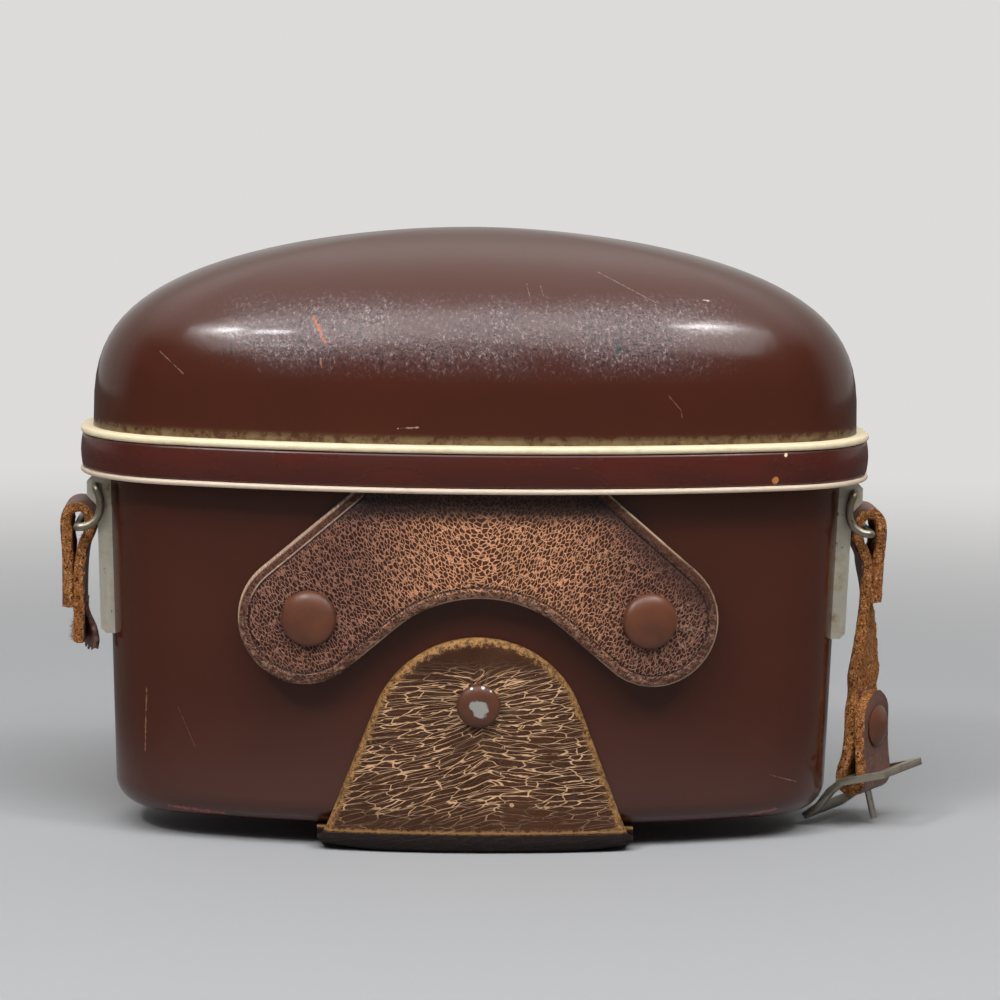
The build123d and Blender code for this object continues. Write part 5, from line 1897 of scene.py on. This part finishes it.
class CAMERACASE_OT_caps(bpy.types.Operator):
    """Domed caps: two snaps on the flap, and the rivets of the tab, the rear strap and the strap's fold"""

    bl_idname = "camera_case.caps"
    bl_label = "Snap and rivet caps"

    def execute(self, context):
        metal = metal_sizes()
        leather = leather_sizes()
        z = seam_z() - metal.snap_drop
        tilt = -atan2(leather.flap_lean, hinge_z() - lobes_z() + LEAN_UNDER)
        profile = cap_profile(metal.snap_radius, metal.snap_rise, leather.flap, SNAP_POST_RADIUS)
        seat = lifted(leather.flap + HAIR)
        places = [front_pin(x, z, flap_inset(z), tilt) @ seat for x in (-metal.snap_x, metal.snap_x)]
        caps_piece("snap_cap_domes", "flap", "snap_caps", profile, places)

        post = leather.tab + RIVET_INTO_WALL
        profile = cap_profile(metal.rivet_radius, metal.rivet_rise, post, RIVET_POST_RADIUS)
        z = metal.tab_rivet_z
        place = front_pin(0.0, z, tub_inset(z), tub_tilt()) @ lifted(leather.tab + 2 * HAIR)
        caps_piece("tab_rivet_cap", "tub", "tab_rivet", profile, [place])

        z = metal.rear_rivet_z
        turn = Matrix.Rotation(pi, 4, "Z")
        seat = lifted(leather.rear + 2 * HAIR)
        xs = (-metal.rear_rivet_x, metal.rear_rivet_x)
        places = [turn @ front_pin(x, z, tub_inset(z), tub_tilt()) @ seat for x in xs]
        caps_piece("rear_rivet_caps", "tub", "rear_rivets", profile, places)

        layers = 2 * (leather.strap + HAIR)
        fold = Matrix.Translation((bail_bar().x + BUCKLE_BAR_OUT, 0, BUCKLE_BAR_Z))
        fold = fold @ Matrix.Rotation(STRAP_TURN, 4, "Z")
        place = fold @ Matrix.Translation((FOLD_MID + layers / 2, 0, STRAP_RIVET_RISE))
        place = place @ Matrix.Rotation(pi / 2, 4, "Y")
        profile = cap_profile(metal.rivet_radius, metal.rivet_rise, layers, RIVET_POST_RADIUS, LOW_CAP)
        washer = [
            (0.0, 0.0), (WASHER_FLAT, 0.0), (WASHER_RADIUS, WASHER_BREAK), (WASHER_RADIUS, WASHER_FACE),
            (WASHER_FLAT, WASHER), (0.0, WASHER),
        ]
        bm = bmesh.new()
        spun(bm, profile, place)
        spun(bm, washer, place @ lifted(-layers - WASHER))
        tidy(bm)
        piece("strap_rivet_cap", bm, "right_strap", [material("cap")], ["strap_rivet"])
        return {"FINISHED"}


class CAMERACASE_OT_lugs(bpy.types.Operator):
    """The two bent-sheet lugs and the rivets that hold them"""

    bl_idname = "camera_case.lugs"
    bl_label = "Side lugs"

    def execute(self, context):
        nickel = material("nickel")
        for side in ("left", "right"):
            rounded_copy(f"{side}_lug", f"{side}_lug_plate", "tub", nickel, 0.00022)
            rounded_copy(f"{side}_lug_rivets", f"{side}_lug_rivet_heads", "tub", nickel, 0.0002)
        return {"FINISHED"}


# The bails: how far the pins are in from the bar, a pin's length, and the leg's bends out and down
BAIL_BAR_OUT = 0.0042
BAIL_PIN = 0.0024
BAIL_BENDS = ((-0.0008, 0.0017), (-0.0011, 0.0046), (-0.0004, 0.0069), (0.0015, 0.0085))
BEND_RADIUS = 0.0016


class CAMERACASE_OT_bails(bpy.types.Operator):
    """The two wire bails"""

    bl_idname = "camera_case.bails"
    bl_label = "Wire bails"

    def execute(self, context):
        radius = metal_sizes().wire_radius
        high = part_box("right_bail")[1]
        bar = bail_bar()
        pin_z = high.z - radius
        pin_x = bar.x - BAIL_BAR_OUT
        leg_y = high.y - radius
        near = [(pin_x, -(leg_y - radius - BAIL_PIN), pin_z), (pin_x, -leg_y, pin_z)]
        near += [(pin_x + out, -leg_y, pin_z - down) for out, down in BAIL_BENDS]
        near += [(bar.x, -leg_y, bar.z)]
        path = near + [(x, -y, z) for x, y, z in reversed(near)]
        for side, sign in (("left", -1), ("right", 1)):
            bm = wire_mesh([Vector((sign * x, y, z)) for x, y, z in path], radius, BEND_RADIUS)
            piece(f"{side}_bail_wire", bm, f"{side}_bail", [material("steel")], [f"{side}_bail"])
        return {"FINISHED"}


class CAMERACASE_OT_buckle(bpy.types.Operator):
    """The centre-bar buckle and its prong"""

    bl_idname = "camera_case.buckle"
    bl_label = "Buckle"

    def execute(self, context):
        rounded_copy("buckle_frame", "buckle_plate", "buckle", material("steel"), 0.0003)
        rounded_copy("buckle_prong", "buckle_tongue", "prong", material("steel"), 0.0002)
        return {"FINISHED"}


class CAMERACASE_OT_inside(bpy.types.Operator):
    """The felt linings and the small fasteners inside and under the case"""

    bl_idname = "camera_case.inside"
    bl_label = "Linings and small fasteners"

    def execute(self, context):
        for node in ("tub_lining", "floor_pad"):
            rounded_copy(node, f"{node}_felt", "tub", material("felt"), 0.0003, segments=1)
        rounded_copy("lid_lining", "lid_lining_felt", "lid", material("felt"), 0.0)
        small = (
            "snap_studs", "stud_backs", "tab_rivet_washer", "rear_rivet_washers", "base_rivets",
            "base_rivet_washers", "snap_sockets",
        )
        for node in small:
            body = "flap" if node == "snap_sockets" else "tub"
            rounded_copy(node, f"{node}_metal", body, material("nickel"), 0.00015)
        return {"FINISHED"}


# Stage


def direction(azimuth, elevation):
    """The way out from the case at an angle about it and over the floor."""
    return Vector((sin(azimuth) * cos(elevation), -cos(azimuth) * cos(elevation), sin(elevation)))


def photo_camera(stage):
    """The camera's place and axes, from its distance, angles and where its aim falls in the image."""
    aim = Vector((0, 0, stage.aim_z))
    away = direction(stage.azimuth, stage.elevation)
    eye = aim + away * stage.distance
    to_aim = -away
    right = to_aim.cross(UP).normalized()
    up = right.cross(to_aim)
    across = atan2(stage.aim_x_share - 0.5, stage.focal)
    down = atan2(0.5 - stage.aim_y_share, stage.focal)
    ahead = (to_aim - right * tan(across) - up * tan(down) * sqrt(1 + tan(across) ** 2)).normalized()
    right = ahead.cross(up).normalized()
    up = right.cross(ahead)
    rolled_right = right * cos(stage.roll) + up * sin(stage.roll)
    rolled_up = up * cos(stage.roll) - right * sin(stage.roll)
    axes = Matrix((rolled_right, rolled_up, -ahead)).transposed().to_4x4()
    return Matrix.Translation(eye) @ axes


LAMP_AIM = Vector((0.0, 0.0, 0.1))


def panel(name, azimuth, elevation, distance, width, height, radiance, part="all"):
    """A soft rectangular light that faces the case from a direction in degrees.

    It may light only the surfaces, or show only in their gloss.
    """
    away = direction(radians(azimuth), radians(elevation))
    data = bpy.data.lights.new(name, "AREA")
    data.shape = "RECTANGLE"
    data.size = width
    data.size_y = height
    data.energy = radiance * pi * width * height
    lamp = bpy.data.objects.new(name, data)
    lamp.visible_camera = False
    lamp.visible_diffuse = part != "gloss"
    lamp.visible_glossy = part != "surfaces"
    bpy.context.scene.collection.objects.link(lamp)
    facing = away.to_track_quat("Z", "Y").to_matrix().to_4x4()
    lamp.matrix_world = Matrix.Translation(LAMP_AIM + away * distance) @ facing


# What a gloss sees: a floor that gets dim away from the case, and a room with a bright ceiling, which is
# soft for all other light
DIM_FLOOR = (0.06, 0.055, 0.05)
FRONT_ROOM = (0.07, 0.07, 0.074)
BACK_ROOM = (0.5, 0.49, 0.47)
CEILING = (1.45, 1.4, 1.36)
SOFT_CEILING = (0.16, 0.16, 0.16)


# Distances on the floor from the case: where the backdrop's colour and the dimness start, and are full
FLOOR_FADE = (0.22, 0.75)
FLOOR_DIM = (0.07, 0.2)
FLOOR_RADIUS = 4.0


def floor_material():
    """A pale floor that fades into the backdrop's colour for the camera, and gets dim for a gloss."""
    finish = Finish("floor")
    tree = finish.tree
    where = finish.coordinates()
    away = vector_maths(tree, "LENGTH", where)["Value"]
    rays = finish.node("ShaderNodeLightPath").outputs
    fade = times(tree, span(tree, away, *FLOOR_FADE), rays["Is Camera Ray"])
    dim = times(tree, span(tree, away, *FLOOR_DIM), rays["Is Glossy Ray"])
    finish.set(Base_Color=mix(tree, dim, colours().floor, DIM_FLOOR), Roughness=0.8)
    glow = finish.node("ShaderNodeEmission", {"Color": colours().backdrop, "Strength": 1.0})
    blend = finish.node("ShaderNodeMixShader", {0: fade, 1: finish.shader.outputs[0], 2: glow.outputs[0]})
    tree.links.new(blend.outputs[0], finish.output.inputs["Surface"])
    return finish.material


def studio_world():
    """A dim room, a lighter wall behind and a bright ceiling, with a pale backdrop for the camera."""
    world = bpy.data.worlds.new("studio")
    world.use_nodes = True
    tree = world.node_tree
    background = tree.nodes["Background"]
    axes = axes_of(tree, add_node(tree, "ShaderNodeTexCoord").outputs["Generated"])
    behind = span(tree, axes["Y"], -0.15, 0.35)
    room = mix(tree, behind, FRONT_ROOM, BACK_ROOM)
    overhead = span(tree, axes["Z"], 0.45, 0.85)
    rays = add_node(tree, "ShaderNodeLightPath").outputs
    room = mix(tree, overhead, room, mix(tree, rays["Is Glossy Ray"], SOFT_CEILING, CEILING))
    put(tree, background.inputs["Color"], mix(tree, rays["Is Camera Ray"], room, colours().backdrop))
    background.inputs["Strength"].default_value = 1.0
    bpy.context.scene.world = world


# Lights: direction in degrees, distance, width, height, brightness, and their part if not all
PANELS = (
    ("key panel", 3.0, 55.0, 1.1, 1.5, 0.6, 6.2, "surfaces"),
    ("gloss panel", 3.0, 48.0, 1.1, 1.9, 0.6, 3.3, "gloss"),
    ("left lamp", -38.0, 41.0, 1.2, 0.12, 0.06, 110.0),
    ("left lamp low", -33.0, 30.0, 1.2, 0.1, 0.03, 40.0),
    ("left lamp far", -47.0, 42.0, 1.2, 0.06, 0.06, 110.0),
    ("right lamp", 50.0, 48.0, 1.2, 0.15, 0.06, 80.0),
)


class CAMERACASE_OT_stage(bpy.types.Operator):
    """Pale floor and backdrop, soft studio light and the camera"""

    bl_idname = "camera_case.stage"
    bl_label = "Stage"

    def execute(self, context):
        stage = context.scene.camera_case_stage
        bm = bmesh.new()
        bmesh.ops.create_circle(bm, cap_ends=True, radius=FLOOR_RADIUS, segments=96)
        piece("floor", bm, None, [floor_material()])
        studio_world()
        for settings in PANELS:
            panel(*settings)

        data = bpy.data.cameras.new("camera")
        data.sensor_width = 36.0
        data.sensor_fit = "HORIZONTAL"
        data.lens = stage.focal * data.sensor_width
        camera = bpy.data.objects.new("camera", data)
        context.scene.collection.objects.link(camera)
        camera.matrix_world = photo_camera(stage)
        context.scene.camera = camera
        context.scene.view_settings.view_transform = "Standard"
        return {"FINISHED"}


STEPS = (
    CAMERACASE_OT_tub, CAMERACASE_OT_lid, CAMERACASE_OT_band, CAMERACASE_OT_flap, CAMERACASE_OT_tab,
    CAMERACASE_OT_rear_strap, CAMERACASE_OT_left_strap, CAMERACASE_OT_right_strap, CAMERACASE_OT_caps,
    CAMERACASE_OT_lugs, CAMERACASE_OT_bails, CAMERACASE_OT_buckle, CAMERACASE_OT_inside, CAMERACASE_OT_stage,
)


class CAMERACASE_PT_sidebar(bpy.types.Panel):
    """Lists the case's pieces and sizes"""

    bl_idname = "CAMERACASE_PT_sidebar"
    bl_label = "Camera case"
    bl_space_type = "VIEW_3D"
    bl_region_type = "UI"
    bl_category = "Camera case"

    def draw(self, context):
        for step in STEPS:
            self.layout.operator(step.bl_idname)
        for name in GROUP_TYPES:
            sizes = getattr(context.scene, name)
            box = self.layout.box()
            for key in sizes.bl_rna.properties.keys():
                if key not in ("rna_type", "name"):
                    box.prop(sizes, key)


GROUP_TYPES = {
    "camera_case_shell": CameraCaseShell,
    "camera_case_leather": CameraCaseLeather,
    "camera_case_metal": CameraCaseMetal,
    "camera_case_colours": CameraCaseColours,
    "camera_case_stage": CameraCaseStage,
}


def register():
    for name, kind in GROUP_TYPES.items():
        bpy.utils.register_class(kind)
        setattr(bpy.types.Scene, name, PointerProperty(type=kind))
    for step in STEPS:
        bpy.utils.register_class(step)
    bpy.utils.register_class(CAMERACASE_PT_sidebar)


def unregister():
    bpy.utils.unregister_class(CAMERACASE_PT_sidebar)
    for step in reversed(STEPS):
        bpy.utils.unregister_class(step)
    for name, kind in GROUP_TYPES.items():
        delattr(bpy.types.Scene, name)
        bpy.utils.unregister_class(kind)


def main():
    register()
    for step in STEPS:
        operator = step.bl_idname.split(".")[1]
        getattr(bpy.ops.camera_case, operator)()


if __name__ == "__main__":
    main()
